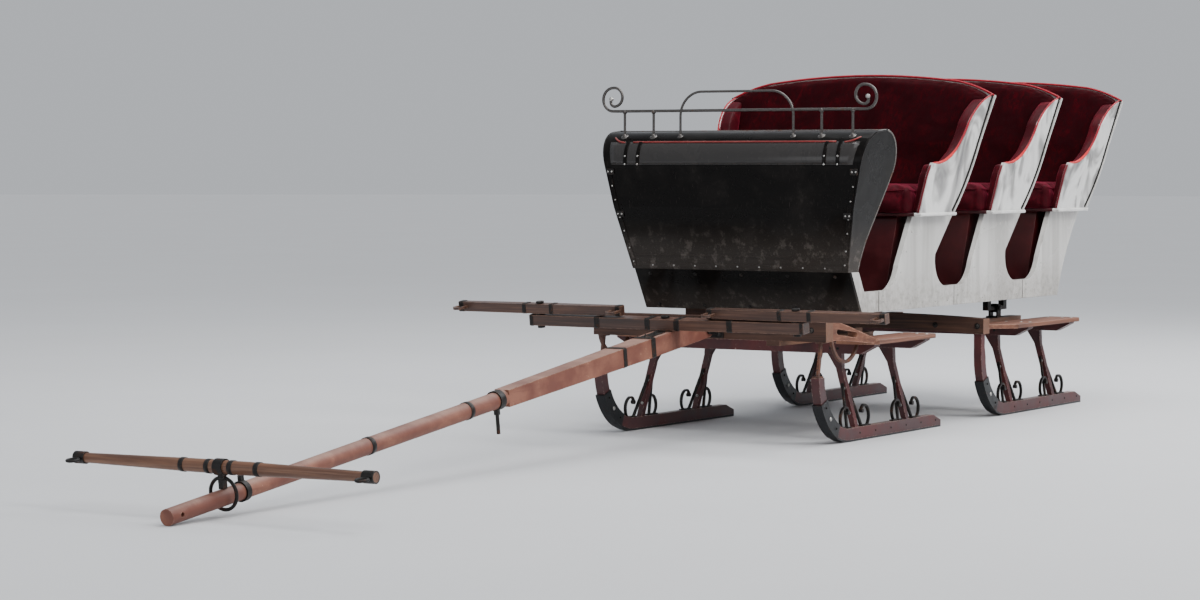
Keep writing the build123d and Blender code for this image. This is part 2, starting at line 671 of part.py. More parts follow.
slab = end_slab(END_BASE_Y, SEAT_END_LOW, END_FLARE, BACK_TOP_Z + 40.0, END_T)
rate = END_FLARE / (BACK_TOP_Z - SEAT_END_LOW)
for row in range(ROWS):
    d = -ROW_PITCH * row
    start, steps = end_outline(d)
    end = side_cut(start, steps, BODY_HALF - 100.0, BODY_HALF + 220.0) & slab
    end = end - back_profile(d, 0.0, -SHELL_T - 60.0)
    keep_body("seat_ends", both_sides(end))
    shell = back_profile(d, 0.0, -SHELL_T)
    shell = shell & crown_face(END_BASE_Y, SEAT_END_LOW, -4.0, 0.0, -4500.0, 4500.0)
    keep_body("seat_shells", shell)
    pad_low = SEAT_END_LOW + PAD_GAP
    pad = back_profile(d, PAD_T, PAD_GAP)
    pad = pad & crown_face(END_BASE_Y, SEAT_END_LOW, END_T + PAD_GAP + 1.0, 6.0, -4500.0, 4500.0)
    pad = pad & block(-4500.0, 4500.0, -900.0, 900.0, pad_low, CROWN_Z + 20.0)
    keep_body("back_pad_%d" % (row + 1), pad)
    arm_top = BACK_TOP_Z + 8.0
    arm_in = CUSHION_HALF + PAD_GAP + 3.0
    arm_out = END_BASE_Y - END_T - PAD_GAP
    arm_out_top = arm_out + rate * (arm_top - SEAT_END_LOW)
    arm_block = cross_cut((arm_in, pad_low), [
        (arm_out, pad_low), (arm_out_top, arm_top),
        (arm_out_top - ARM_PAD_TOP_T, arm_top)], -4500.0, 4500.0)
    start, steps = end_outline(d, 3.0)
    arm = side_cut(start, steps, BODY_HALF - 100.0, BODY_HALF + 220.0) & arm_block
    clear_pad = back_profile(d, PAD_T + PAD_GAP, -60.0)
    keep_body("arm_pads", both_sides(arm - clear_pad))
    c_top = pad_low + CUSHION_H
    pad_front = BACK_LOW_X + d + PAD_T + 2 * PAD_GAP
    cushion = side_cut((pad_front - 30.0, pad_low), [
        (874.0 + d, pad_low), (874.0 + d, c_top), (pad_front - 120.0, c_top)],
        -CUSHION_HALF, CUSHION_HALF)
    keep_body("cushion_%d" % (row + 1), cushion - clear_pad)


# Dash with its side wings
def dash_area(dx, dz):
    f = FRONT_X + dx
    start = (f + 127.0, DASH_BOTTOM + dz)
    steps = [(f + 190.0, DASH_BOTTOM + 256.0 + dz), (f + 202.0, DASH_TOP - 153.0 + dz),
             (f + 182.0, DASH_TOP - 57.0 + dz, f + 105.0, DASH_TOP - 7.0 + dz),
             (f + 25.0, DASH_TOP + dz), (f + 25.0, DASH_BOTTOM + dz)]
    return side_cut(start, steps, -900.0, 900.0)


dash_rate = DASH_FLARE / (DASH_TOP - DASH_BOTTOM)
z_over = DASH_TOP + 20.0
y_over = BODY_HALF + dash_rate * (z_over - DASH_BOTTOM)
dash_x0 = FRONT_X - 380.0
dash_x1 = FRONT_X + 420.0
between = cross_cut((-BODY_HALF, DASH_BOTTOM), [
    (BODY_HALF, DASH_BOTTOM), (y_over, z_over), (-y_over, z_over)], dash_x0, dash_x1)
front_sheet = (dash_area(0.0, 0.0) - dash_area(-DASH_T, -DASH_T)) & between
wing = side_cut((FRONT_X + 42.0, DASH_BOTTOM), [
    (FRONT_X + 127.0, DASH_BOTTOM), (FRONT_X + 190.0, DASH_BOTTOM + 256.0),
    (FRONT_X + 202.0, DASH_TOP - 153.0),
    (FRONT_X + 182.0, DASH_TOP - 57.0, FRONT_X + 105.0, DASH_TOP - 7.0),
    (FRONT_X + 25.0, DASH_TOP),
    (FRONT_X - 68.0, DASH_TOP - 45.0, FRONT_X - 101.0, DASH_TOP - 157.0),
    (FRONT_X - 68.0, DASH_TOP - 237.0), (FRONT_X + 24.0, DASH_BOTTOM + 129.0),
    (FRONT_X + 42.0, DASH_BOTTOM + 41.0)], BODY_HALF - 100.0, BODY_HALF + 220.0)
wing = wing & cross_cut((BODY_HALF, DASH_BOTTOM), [
    (y_over, z_over), (y_over - DASH_T, z_over), (BODY_HALF - DASH_T, DASH_BOTTOM)], dash_x0, dash_x1)
keep_body("dash", front_sheet + wing + mirror_y(wing))


# Rail on the dash
def yz_tube(points_arcs, r):
    edges = []
    here = points_arcs[0]
    for step in points_arcs[1:]:
        if len(step) == 2:
            there = step
            edges.append(Edge.make_line(
                Vector(RAIL_X, here[0], here[1]), Vector(RAIL_X, there[0], there[1])))
        else:
            there = (step[2], step[3])
            edges.append(Edge.make_three_point_arc(
                Vector(RAIL_X, here[0], here[1]), Vector(RAIL_X, step[0], step[1]),
                Vector(RAIL_X, there[0], there[1])))
        here = there
    path = Wire(edges)
    plane = Plane(origin=edges[0] @ 0, z_dir=edges[0] % 0)
    return sweep(plane * Circle(r), path=path)


curl_y = BODY_HALF + 85.0
curl_path = [(curl_y, RAIL_Z),
             (curl_y + 48.5, RAIL_Z + 48.5, curl_y, RAIL_Z + 97.0),
             (curl_y - 44.0, RAIL_Z + 56.0, curl_y - 8.0, RAIL_Z + 20.0),
             (curl_y + 9.8, RAIL_Z + 29.5, curl_y + 9.8, RAIL_Z + 48.5)]
curl = yz_tube(curl_path, RAIL_R)
rail = rod_y(RAIL_X, -curl_y, curl_y, RAIL_Z, RAIL_R)
rail = rail + curl + mirror_y(curl)
post_low = DASH_TOP - 53.0
for y in (BODY_HALF + 29.0, BODY_HALF - 110.0):
    post = rod_z(RAIL_X, y, post_low, RAIL_Z, RAIL_R - 0.7)
    rail = rail + post + mirror_y(post)
bow_y = BODY_HALF - 238.0
bow_r = 100.0
bow_top = RAIL_Z + 77.0
bow_in = bow_y - bow_r
bow_knee = bow_r * math.sqrt(0.5)
bow = yz_tube([(bow_y, post_low), (bow_y, bow_top - bow_r),
               (bow_in + bow_knee, bow_top - bow_r + bow_knee, bow_in, bow_top),
               (-bow_in, bow_top),
               (-bow_in - bow_knee, bow_top - bow_r + bow_knee, -bow_y, bow_top - bow_r),
               (-bow_y, post_low)], RAIL_R - 1.0)
rail = rail + bow
rail = rail - (dash_area(0.0, 0.0) & between)
keep_body("dash_rail", [s for s in rail.solids() if s.volume > 20000.0])

for node, shapes in body.items():
    put(node, [Pos(0, 0, BODY_BOTTOM) * s for s in shapes])

# Pole and pulling gear, drawn straight along X from the hinge and then let down
gear = {}


def keep_gear(node, *shapes):
    gear.setdefault(node, [])
    for shape in shapes:
        if isinstance(shape, (list, tuple)):
            gear[node].extend(shape)
        else:
            gear[node].append(shape)


pole = block(0.0, POLE_SQ_END, -POLE_W / 2, POLE_W / 2, -POLE_H / 2, POLE_H / 2)
pole = pole + rod_y(0.0, -POLE_W / 2, POLE_W / 2, 0.0, POLE_H / 2)
sec_a = Plane(origin=(POLE_SQ_END, 0, 0), x_dir=(0, 1, 0), z_dir=(1, 0, 0)) * Rectangle(POLE_W, POLE_H)
sec_b = Plane(origin=(POLE_ROUND_S, 0, 0), x_dir=(0, 1, 0), z_dir=(1, 0, 0)) * Rectangle(
    2 * POLE_ROUND_R, 2 * POLE_ROUND_R)
pole = pole + loft([sec_a.faces()[0], sec_b.faces()[0]], ruled=True)
round_len = POLE_LEN - POLE_ROUND_S
cone = Pos(POLE_ROUND_S + round_len / 2, 0, 0) * Rot(0, 90, 0) * Cone(
    POLE_ROUND_R, POLE_TIP_R, round_len)
pole = pole + cone
pole = pole - rod_y(0.0, -POLE_W, POLE_W, 0.0, HINGE_R + HINGE_GAP)
pole = pole - rod_y(POLE_LEN - 45.0, -60.0, 60.0, 0.0, 8.0)
pole_top = POLE_H / 2
evener_z0 = pole_top + WEAR_T + FACE_GAP
evener_z1 = evener_z0 + EVENER_H
tree_z0 = evener_z1 + WEAR_T + FACE_GAP
tree_z1 = tree_z0 + TREE_H
pole = pole - rod_z(EVENER_S, 0, pole_top - 50.0, pole_top + 5.0, PIN_R)
keep_gear("pole", pole)


def collar(s, r_in, width, t):
    out = rod_x(s - width / 2, s + width / 2, 0, 0, r_in + t)
    return out - rod_x(s - width, s + width, 0, 0, r_in)


def cone_r(s):
    return POLE_ROUND_R + (POLE_TIP_R - POLE_ROUND_R) * (s - POLE_ROUND_S) / round_len


pin_iron = rod_z(EVENER_S, 0, pole_top - 50.0, evener_z1 + 8.0, PIN_R)
pin_iron = pin_iron + rod_z(EVENER_S, 0, pole_top, pole_top + WEAR_T, POLE_W / 2 - 6.0)
pin_iron = pin_iron + rod_z(EVENER_S, 0, evener_z1 + 2.0, evener_z1 + 10.0, PIN_R + 8.0)
ring_s = POLE_ROUND_S + 40.0
hang = collar(ring_s, cone_r(ring_s - 16.0) + PAD_GAP, 32.0, 5.0)
hang = hang + block(ring_s - 7.0, ring_s + 7.0, -9.0, 9.0, -cone_r(ring_s) - 22.0, -cone_r(ring_s) - 3.0)
hang = hang + rod_z(ring_s, 0, -cone_r(ring_s) - 92.0, -cone_r(ring_s) - 20.0, 7.0)
stop_s = POLE_LEN - YOKE_BACK - 90.0
stop = collar(stop_s, cone_r(stop_s - 11.0) + PAD_GAP, 22.0, 6.0)
stop = stop + block(stop_s - 8.0, stop_s + 8.0, -7.0, 7.0, cone_r(stop_s) + 3.0, cone_r(stop_s) + 24.0)
keep_gear("pole_irons", pin_iron, hang, stop)


# Evener and singletrees
def tapered_bar(half, w_mid, h, w_end, z0, z1):
    return plan_cut((-w_mid / 2, 0.0), [
        (-w_mid / 2, 60.0), (-w_end / 2, half), (w_end / 2, half), (w_mid / 2, 60.0),
        (w_mid / 2, -60.0), (w_end / 2, -half), (-w_end / 2, -half), (-w_mid / 2, -60.0)], z0, z1)


bar = Pos(EVENER_S, 0, 0) * tapered_bar(EVENER_HALF, EVENER_W, EVENER_H, 50.0, evener_z0, evener_z1)
bar = bar - rod_z(EVENER_S, 0, evener_z0 - 5.0, evener_z1 + 5.0, PIN_R + PIN_GAP)
for s in (-1, 1):
    bar = bar - rod_z(EVENER_S, s * TREE_Y, evener_z0 - 5.0, evener_z1 + 5.0, PIN_R)
keep_gear("evener", bar)
for s in (-1, 1):
    tree_pin = rod_z(EVENER_S, s * TREE_Y, evener_z0 - 10.0, tree_z1 + 8.0, PIN_R)
    tree_pin = tree_pin + rod_z(EVENER_S, s * TREE_Y, evener_z1, evener_z1 + WEAR_T, PIN_R + 11.0)
    tree_pin = tree_pin + rod_z(EVENER_S, s * TREE_Y, tree_z1 + 2.0, tree_z1 + 9.0, PIN_R + 7.0)
    tree_pin = tree_pin + rod_z(EVENER_S, s * TREE_Y, evener_z0 - 12.0, evener_z0, PIN_R + 6.0)
    keep_gear("evener_pins", tree_pin)


def trace_hook(y):
    zc = (tree_z0 + tree_z1) / 2
    x0 = EVENER_S + 15.0
    out = plan_cut((x0, y - 6.0), [
        (x0 + 30.0, y - 6.0),
        (x0 + 58.0, y + 16.0, x0 + 30.0, y + 38.0),
        (x0 + 12.0, y + 38.0), (x0 + 12.0, y + 28.0), (x0 + 30.0, y + 28.0),
        (x0 + 46.0, y + 16.0, x0 + 30.0, y + 4.0), (x0, y + 4.0)], zc - 5.0, zc + 5.0)
    return out


tree = Pos(EVENER_S, TREE_Y, 0) * tapered_bar(TREE_HALF, TREE_W, TREE_H, 34.0, tree_z0, tree_z1)
tree = tree - rod_z(EVENER_S, TREE_Y, tree_z0 - 5.0, tree_z1 + 5.0, PIN_R + PIN_GAP)
for e in (-1, 1):
    tree = tree + trace_hook(TREE_Y + e * (TREE_HALF - 22.0) - 16.0)
keep_gear("singletree_left", tree)
keep_gear("singletree_right", mirror_y(tree))

# Neck yoke with its ring round the pole
yoke_s = POLE_LEN - YOKE_BACK
ring_c = 12.0
pole_r = cone_r(yoke_s)
yoke_z = ring_c + YOKE_RING_R + 2 * YOKE_WIRE_R + YOKE_R + 6.0
yoke = Pos(yoke_s, 0, yoke_z) * Rot(90, 0, 0) * Cylinder(YOKE_R, 240.0)
for e in (-1, 1):
    y0 = 120.0
    y1 = YOKE_HALF
    arm = Pos(yoke_s, e * (y0 + y1) / 2, yoke_z) * Rot(-90 * e, 0, 0) * Cone(YOKE_R, YOKE_R - 6.0, y1 - y0)
    yoke = yoke + arm
keep_gear("neck_yoke_bar", yoke)
torus = Pos(yoke_s, 0, ring_c) * Rot(0, 90, 0) * Torus(YOKE_RING_R + YOKE_WIRE_R, YOKE_WIRE_R)
strap = rod_y(yoke_s, -18.0, 18.0, yoke_z, YOKE_R + 5.0) - rod_y(yoke_s, -30.0, 30.0, yoke_z, YOKE_R)
neck = block(yoke_s - 8.0, yoke_s + 8.0, -12.0, 12.0, ring_c + YOKE_RING_R + 2.0, yoke_z - YOKE_R - 2.0)
saddle = block(yoke_s - 10.0, yoke_s + 10.0, -10.0, 10.0, pole_r + PAD_GAP, ring_c + YOKE_RING_R + 4.0)
irons = [torus + strap + neck + saddle]
for e in (-1, 1):
    yc = e * (YOKE_HALF - 22.0)
    cap_r = YOKE_R - 6.0 + 44.0 / (YOKE_HALF - 120.0) * 6.0
    cap = rod_y(yoke_s, yc - 22.0, yc + 22.0, yoke_z, cap_r + 4.0)
    cap = cap - yoke
    eye = Pos(yoke_s + cap_r + 26.0, yc, yoke_z) * Torus(19.0, 5.0)
    irons.append(cap + eye)
keep_gear("neck_yoke_irons", irons)

DOWN = Pos(HINGE_X, 0, HINGE_Z) * Rot(0, POLE_DROP, 0)
for node, shapes in gear.items():
    put(node, [DOWN * s for s in shapes])

# Export, moved so that the origin is under the middle
total = 0
for node, shapes in NODES.items():
    solids = []
    for shape in shapes:
        solids.extend(shape.solids())
    moved = [Pos(SHIFT, 0, 0) * s for s in solids]
    total = total + len(moved)
    out = moved[0] if len(moved) == 1 else Compound(children=moved)
    export_step(out, "parts/" + node + ".step")
print("nodes", len(NODES), "solids", total, "shift", round(SHIFT, 2), "drop", round(POLE_DROP, 3))
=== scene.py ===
import math
from contextlib import contextmanager

import bmesh
import bpy
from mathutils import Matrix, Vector, noise
from mathutils.bvhtree import BVHTree
from mathutils.kdtree import KDTree


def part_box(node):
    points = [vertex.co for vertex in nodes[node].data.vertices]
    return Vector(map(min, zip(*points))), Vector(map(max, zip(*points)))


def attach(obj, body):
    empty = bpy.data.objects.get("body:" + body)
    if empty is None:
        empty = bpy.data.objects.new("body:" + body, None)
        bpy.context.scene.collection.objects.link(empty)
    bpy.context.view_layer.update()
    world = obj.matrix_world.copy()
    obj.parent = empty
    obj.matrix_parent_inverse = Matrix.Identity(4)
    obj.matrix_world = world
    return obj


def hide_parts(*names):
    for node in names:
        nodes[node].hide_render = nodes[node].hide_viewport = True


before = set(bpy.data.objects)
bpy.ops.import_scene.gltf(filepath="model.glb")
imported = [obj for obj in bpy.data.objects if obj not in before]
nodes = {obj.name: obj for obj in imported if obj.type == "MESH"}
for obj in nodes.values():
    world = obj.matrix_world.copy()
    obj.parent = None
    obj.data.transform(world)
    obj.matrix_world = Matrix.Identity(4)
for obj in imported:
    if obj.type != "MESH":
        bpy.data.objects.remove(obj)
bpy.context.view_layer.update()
scene = bpy.context.scene

# Places in the drawing's own layout, in millimetres, as the part's source has them
# The layout's origin along X is read from the front edge of the first seat board
ORIGIN_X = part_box("seat_boards")[1].x - 0.862
BODY_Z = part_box("front_panel")[0].z * 1000
ROWS = 3
PITCH = 715
HALF = 500
SEAT_LOW = BODY_Z + 398
END_Y = 550
FLARE = 82 / 492
BACK_FOOT = (545, SEAT_LOW)
BACK_MID = (454, SEAT_LOW + 135)
BEND = (394, BODY_Z + 683)
SHOULDER = (318, BODY_Z + 890)
LEAN = 86 / 207
PANEL_LEAN = 95 / 167
DASH_LOW = BODY_Z + 167
DASH_TOP = BODY_Z + 736
DASH_CREST = 1305
DASH_RATE = 122 / 569
RAIL_X = 1425
RAIL_Z = BODY_Z + 818
BOB_PITCH = 1510
BENCH_X = (-165, -625)
RUNNER_TOP = 54
RUNNER_BEND = 270
STEP_TOP = 408
HINGE = (1720, 455)
DROP = math.asin(428 / 3300)
EVENER_S = 260
TREE_Y = 580
YOKE_S = 3020
YOKE_Z = 98
TURN = 2 * math.pi
FRONT, LEFT, TOP = (1, 0, 0), (0, 1, 0), (0, 0, 1)


def P(x, y, z):
    return Vector((x / 1000 + ORIGIN_X, y / 1000, z / 1000))


def G_dir(v):
    """A direction of the pole's own drawing."""
    c, n = math.cos(DROP), math.sin(DROP)
    return Vector((v[0] * c + v[2] * n, v[1], -v[0] * n + v[2] * c))


def G(s, y, z):
    """A point of the pole's own drawing: s along it from the hinge, z up from its middle."""
    d = G_dir((s, 0.0, z))
    return P(HINGE[0] + d.x, y, HINGE[1] + d.z)


def arc_points(a, m, b, n):
    """n + 1 points on the circle through a, m and b."""
    (ax, ay), (bx, by), (cx, cy) = a, m, b
    sa, sb, sc = ax * ax + ay * ay, bx * bx + by * by, cx * cx + cy * cy
    d = 2 * (ax * (by - cy) + bx * (cy - ay) + cx * (ay - by))
    ux = (sa * (by - cy) + sb * (cy - ay) + sc * (ay - by)) / d
    uy = (sa * (cx - bx) + sb * (ax - cx) + sc * (bx - ax)) / d
    r = math.hypot(ax - ux, ay - uy)
    t0, tm, t1 = (math.atan2(y - uy, x - ux) for x, y in (a, m, b))
    up = (t1 - t0) % TURN
    if (tm - t0) % TURN > up:
        up -= TURN
    return [(ux + r * math.cos(t0 + up * k / n), uy + r * math.sin(t0 + up * k / n)) for k in range(n + 1)]


def line_points(start, steps, step_mm=14):
    """Follows straight steps (x, y) and arcs (mid x, mid y, x, y) and returns points close together."""
    out = [start]
    for s in steps:
        (x, y), there = out[-1], s[-2:]
        n = max(2, int(math.hypot(there[0] - x, there[1] - y) / step_mm))
        if len(s) == 2:
            out += [(x + (there[0] - x) * k / n, y + (there[1] - y) * k / n) for k in range(1, n + 1)]
        else:
            out += arc_points((x, y), s[:2], there, max(8, n))[1:]
    return out


def back_x(z):
    """The shell's front surface along X at a height, for the first row."""
    if z >= BEND[1]:
        return BEND[0] - LEAN * (z - BEND[1])
    pts = arc_points(BACK_FOOT, BACK_MID, BEND, 40)
    (x0, z0), (x1, z1) = next(pair for pair in zip(pts, pts[1:]) if z <= pair[1][1])
    return x0 + (x1 - x0) * (z - z0) / (z1 - z0)


def end_y(z):
    """The outer face of a seat end at a height."""
    return END_Y + FLARE * (z - SEAT_LOW)


def dash_y(z):
    """The edge of the dash at a height."""
    return HALF + DASH_RATE * (z - DASH_LOW)


def normals(pts):
    """Unit normals of an outline of x and z, to the left of its direction."""
    return [Vector((a[1] - b[1], 0.0, b[0] - a[0])).normalized()
            for a, b in zip(pts[:1] + pts, pts[1:] + pts[-1:])]


def eased(pts, rounds):
    """Points drawn towards the middle of their neighbours, with both ends kept."""
    for _ in range(rounds):
        middle = [tuple((a + 2 * b + c) / 4 for a, b, c in zip(*near)) for near in zip(pts, pts[1:], pts[2:])]
        pts = [pts[0]] + middle + [pts[-1]]
    return pts


def spread(a, b, n):
    """n + 1 values from a to b."""
    return [a + (b - a) * k / n for k in range(n + 1)]


def other_side(pts):
    return [Vector((p[0], -p[1], p[2])) for p in pts]


def given(thing, **values):
    """Sets some properties of a thing and returns it."""
    for key, value in values.items():
        setattr(thing, key, value)
    return thing


# Materials, gathered by name
M = {}


def rgb(levels, k=1.0):
    """A colour from three levels of 0 to 255, made k times as bright."""
    shares = [v / 255 for v in levels]
    return (*(k * (c / 12.92 if c <= 0.04045 else ((c + 0.055) / 1.055) ** 2.4) for c in shares), 1.0)


def stretch(axis, on, across):
    """Scales with one value along an axis and another across it."""
    return tuple(on if a == axis else across for a in "XYZ")


class Finish:
    """One material and short ways to add its nodes."""

    def __init__(self, name, **shader):
        self.name, self.colour = name, None
        self.mat = bpy.data.materials.new(name)
        self.mat.use_nodes = True
        self.tree = self.mat.node_tree
        self.tree.nodes.clear()
        self.bsdf = self.node("BsdfPrincipled", **shader)
        self.node("OutputMaterial", self.bsdf.outputs[0])
        self.coord = self.node("TexCoord")
        self.wide = self.space()

    def put(self, socket, value):
        """Links or sets a socket; a colour can be three levels."""
        if isinstance(value, bpy.types.NodeSocket):
            self.tree.links.new(value, socket)
        elif value is not None:
            levels = socket.type == "RGBA" and len(value) == 3
            socket.default_value = rgb(value) if levels else value

    def node(self, kind, *first, **named):
        """A shader node with values for its first inputs in order and for others by name."""
        n = self.tree.nodes.new("ShaderNode" + kind)
        for socket, value in zip(n.inputs, first):
            self.put(socket, value)
        for key, value in named.items():
            self.put(n.inputs[key.replace("_", " ")], value)
        return n

    def space(self, scale=(1, 1, 1), turn=(0, 0, 0)):
        return self.node("Mapping", self.coord.outputs["Object"], Scale=scale, Rotation=turn).outputs[0]

    def noise(self, scale, detail=4, rough=0.55, twist=0.0, space=None):
        return self.node("TexNoise", Vector=space or self.wide, Scale=scale, Detail=detail, Roughness=rough,
                         Distortion=twist).outputs["Fac"]

    def span(self, value, lo, hi, a=0.0, b=1.0):
        n = given(self.node("MapRange", value, lo, hi, a, b), interpolation_type="SMOOTHSTEP")
        return n.outputs["Result"]

    def math(self, op, a, b=None):
        return given(self.node("Math", a, b), operation=op, use_clamp=True).outputs[0]

    def times(self, a, b):
        return self.math("MULTIPLY", a, b)

    def plus(self, a, b):
        return self.math("ADD", a, b)

    def mix(self, fac, a, b):
        n = given(self.node("Mix", fac), data_type="RGBA")
        self.put(n.inputs[6], a)
        self.put(n.inputs[7], b)
        return n.outputs[2]

    def layer(self, mask, colour):
        """Lays a colour over those so far."""
        self.colour = self.mix(mask, self.colour, colour)

    def axis(self, which, source="Object"):
        return self.node("SeparateXYZ", self.coord.outputs[source]).outputs["XYZ".index(which)]

    def soft_edges(self, radius):
        return given(self.node("Bevel", radius), samples=6).outputs[0]

    def rim(self, radius):
        """1 at sharp outer edges and 0 on faces, from how far a bevel would turn the normal."""
        face = self.node("NewGeometry").outputs["Normal"]
        dot = given(self.node("VectorMath", self.soft_edges(radius), face), operation="DOT_PRODUCT")
        return self.span(self.math("SUBTRACT", 1.0, dot.outputs["Value"]), 0.02, 0.35)

    def chips(self, radius, scale, lo=0.5, hi=0.6, detail=4):
        """Patches along sharp edges."""
        return self.times(self.rim(radius), self.span(self.noise(scale, detail, 0.7), lo, hi))

    def bump(self, height, strength, distance, under=None):
        return self.node("Bump", Strength=strength, Distance=distance, Height=height, Normal=under).outputs[0]

    def film(self, scale, strength, under):
        """The finest unevenness of a coat of paint."""
        return self.bump(self.noise(scale, 2, 0.5), strength, 0.001, under)

    def done(self, rough, normal=None):
        for key, value in (("Base Color", self.colour), ("Roughness", rough), ("Normal", normal)):
            self.put(self.bsdf.inputs[key], value)
        M[self.name] = self.mat


def panel_paint():
    """Pale panels with soft upright streaks, darker towards the bottom, road film near the sills and chipped
    edges.
    """
    f = Finish("panel_white", Coat_Weight=0.5, Coat_Roughness=0.12, Specular_IOR_Level=0.5)
    cloud = f.noise(2.3, 3, 0.5)
    f.colour = f.mix(f.span(cloud, 0.35, 0.7), (216, 214, 210), (196, 194, 190))
    broad = f.noise(1.6, 3, 0.5, 0.5, f.space((8, 8, 0.7), (0.0, 0.12, 0.0)))
    f.layer(f.span(broad, 0.42, 0.68, 0.0, 0.6), (166, 163, 158))
    streak = f.noise(2.2, 5, 0.6, space=f.space((34, 34, 1.2)))
    f.layer(f.times(f.span(streak, 0.55, 0.8), 0.45), (146, 141, 134))
    low = f.span(f.axis("Z"), 0.70, 0.52)
    grime = f.times(low, f.span(f.noise(34, 6, 0.7), 0.38, 0.72))
    # An even darkening towards the bottom, with blotchy grime there on top of it.
    f.layer(f.times(low, 0.3), (150, 145, 138))
    f.layer(f.times(grime, 0.6), (120, 112, 102))
    f.layer(f.chips(0.004, 55), (72, 66, 62))
    rough = f.plus(f.span(cloud, 0.3, 0.8, 0.22, 0.38), f.times(grime, 0.35))
    wavy = f.bump(f.noise(3.4, 2, 0.4), 0.3, 0.012, f.soft_edges(0.003))
    f.done(rough, f.film(420, 0.05, wavy))


def end_paint():
    """Polished seat ends, bright, with smoky grey swirls of painted reflection in the base colour."""
    f = Finish("end_gloss", Coat_Weight=0.9, Coat_Roughness=0.05, Specular_IOR_Level=0.6)
    painted_reflection_swirls = f.noise(2.1, 2.5, 0.5, 1.6, f.space((2.6, 2.6, 1.7), (0.0, 0.55, 0.0)))
    # Painted reflection: the swirls grey and darken the white as if blurred surroundings showed in the gloss.
    f.colour = f.mix(f.span(painted_reflection_swirls, 0.44, 0.62), (232, 231, 228), (152, 150, 147))
    f.layer(f.span(painted_reflection_swirls, 0.60, 0.74, 0.0, 0.75), (88, 86, 86))
    veil = f.noise(2.6, 4, 0.6, 0.8, f.space((5, 5, 2), (0.0, 0.7, 0.0)))
    f.layer(f.span(veil, 0.5, 0.75, 0.0, 0.35), (188, 186, 184))
    f.layer(f.chips(0.003, 60), (84, 66, 62))
    wavy = f.bump(painted_reflection_swirls, 0.5, 0.02, f.soft_edges(0.003))
    f.done(f.span(veil, 0.3, 0.8, 0.14, 0.28), f.film(420, 0.05, wavy))


def board_paint():
    """Seat boards: a bright rounded moulding where they stand out, dark lining between."""
    f = Finish("board_paint", Coat_Weight=0.5, Coat_Roughness=0.1, Specular_IOR_Level=0.5)
    outer = f.span(f.math("ABSOLUTE", f.axis("Y")), 0.524, 0.528)
    rear = f.span(f.times(f.axis("X", "Normal"), -1.0), 0.5, 0.7)
    outer = f.math("MAXIMUM", outer, rear)
    cloud = f.noise(14, 4, 0.6)
    lining = f.mix(f.span(cloud, 0.35, 0.7), (50, 6, 12), (78, 12, 20))
    bright = f.mix(f.span(cloud, 0.4, 0.7), (234, 233, 230), (204, 202, 198))
    bright = f.mix(f.chips(0.003, 70, 0.52, 0.62), bright, (110, 100, 94))
    rough = f.span(outer, 0.0, 1.0, 0.7, 0.26)
    f.colour = f.mix(outer, lining, bright)
    f.done(rough, f.bump(cloud, 0.1, 0.002, f.soft_edges(0.007)))


def black_enamel(name, dust_low, dust_high, dust, base=(9, 7, 6), coat=0.1, rough=(0.24, 0.38)):
    """Old black paint on sheet iron, with dust and dried splashes below a height."""
    f = Finish(name, Coat_Weight=coat, Coat_Roughness=0.1, Specular_IOR_Level=0.06)
    cloud = f.noise(5, 6, 0.62, 0.6)
    film = f.times(f.span(f.axis("Z"), dust_high, dust_low), dust)
    film = f.plus(film, f.span(cloud, 0.45, 0.85, 0.0, 0.07))
    speck = f.span(f.noise(210, 4, 0.75), 0.60, 0.72)
    f.colour = f.mix(film, base, (96, 88, 82))
    splash = f.times(f.span(f.noise(24, 5, 0.7), 0.52, 0.66), f.times(film, 1.6))
    f.layer(splash, (108, 100, 94))
    f.layer(f.times(speck, film), (176, 170, 162))
    f.layer(f.times(f.chips(0.003, 40, 0.42, 0.62), 0.55), (96, 76, 66))
    scratch = f.span(f.noise(6, 3, 0.5, space=f.space((60, 60, 3), (0.0, 0.5, 0.2))), 0.66, 0.72)
    f.layer(f.times(scratch, 0.3), (84, 76, 72))
    finish = f.plus(f.span(cloud, 0.3, 0.75, *rough), f.times(film, 0.4))
    finish = f.plus(finish, f.times(scratch, 0.2))
    dents = f.bump(f.noise(5.5, 2, 0.45), 0.4, 0.014, f.soft_edges(0.002))
    f.done(finish, f.film(300, 0.06, dents))


def forged_iron(name, base, rust, share, metal=0.55, rough=0.42):
    """Hammered iron with rust spots over a share of it."""
    f = Finish(name, Metallic=metal, Specular_IOR_Level=0.5)
    patch = f.noise(26, 6, 0.66, 0.3)
    fine = f.noise(190, 4, 0.6)
    spots = f.times(f.span(patch, 0.66 - share, 0.74 - share * 0.6), f.span(fine, 0.3, 0.65))
    f.colour = f.mix(f.span(fine, 0.3, 0.7), base, rgb(base, 1.8))
    f.layer(spots, rust)
    f.layer(f.times(f.rim(0.0025), f.span(patch, 0.4, 0.6, 0.1, 0.5)), (150, 142, 134))
    finish = f.plus(f.span(patch, 0.3, 0.8, rough, rough + 0.16), f.times(spots, 0.3))
    hammered = f.bump(f.noise(60, 3, 0.5), 0.25, 0.002, f.soft_edges(0.0015))
    f.done(finish, f.bump(fine, 0.2, 0.0006, hammered))


def worn_steel(name, tone, rust):
    """Brushed bright metal with a few rust spots."""
    f = Finish(name, Metallic=0.9, Specular_IOR_Level=0.5)
    brush = f.noise(3, 4, 0.6, space=f.space((2, 160, 160)))
    patch = f.noise(24, 6, 0.65)
    f.colour = f.mix(f.span(brush, 0.3, 0.7), tone, tuple(c - 50 for c in tone))
    spots = f.times(f.span(patch, 0.72 - rust, 0.78 - rust * 0.6), 0.8)
    f.layer(spots, (104, 68, 48))
    rough = f.plus(f.span(brush, 0.2, 0.8, 0.26, 0.42), f.times(spots, 0.35))
    f.done(rough, f.bump(brush, 0.12, 0.0006, f.soft_edges(0.001)))


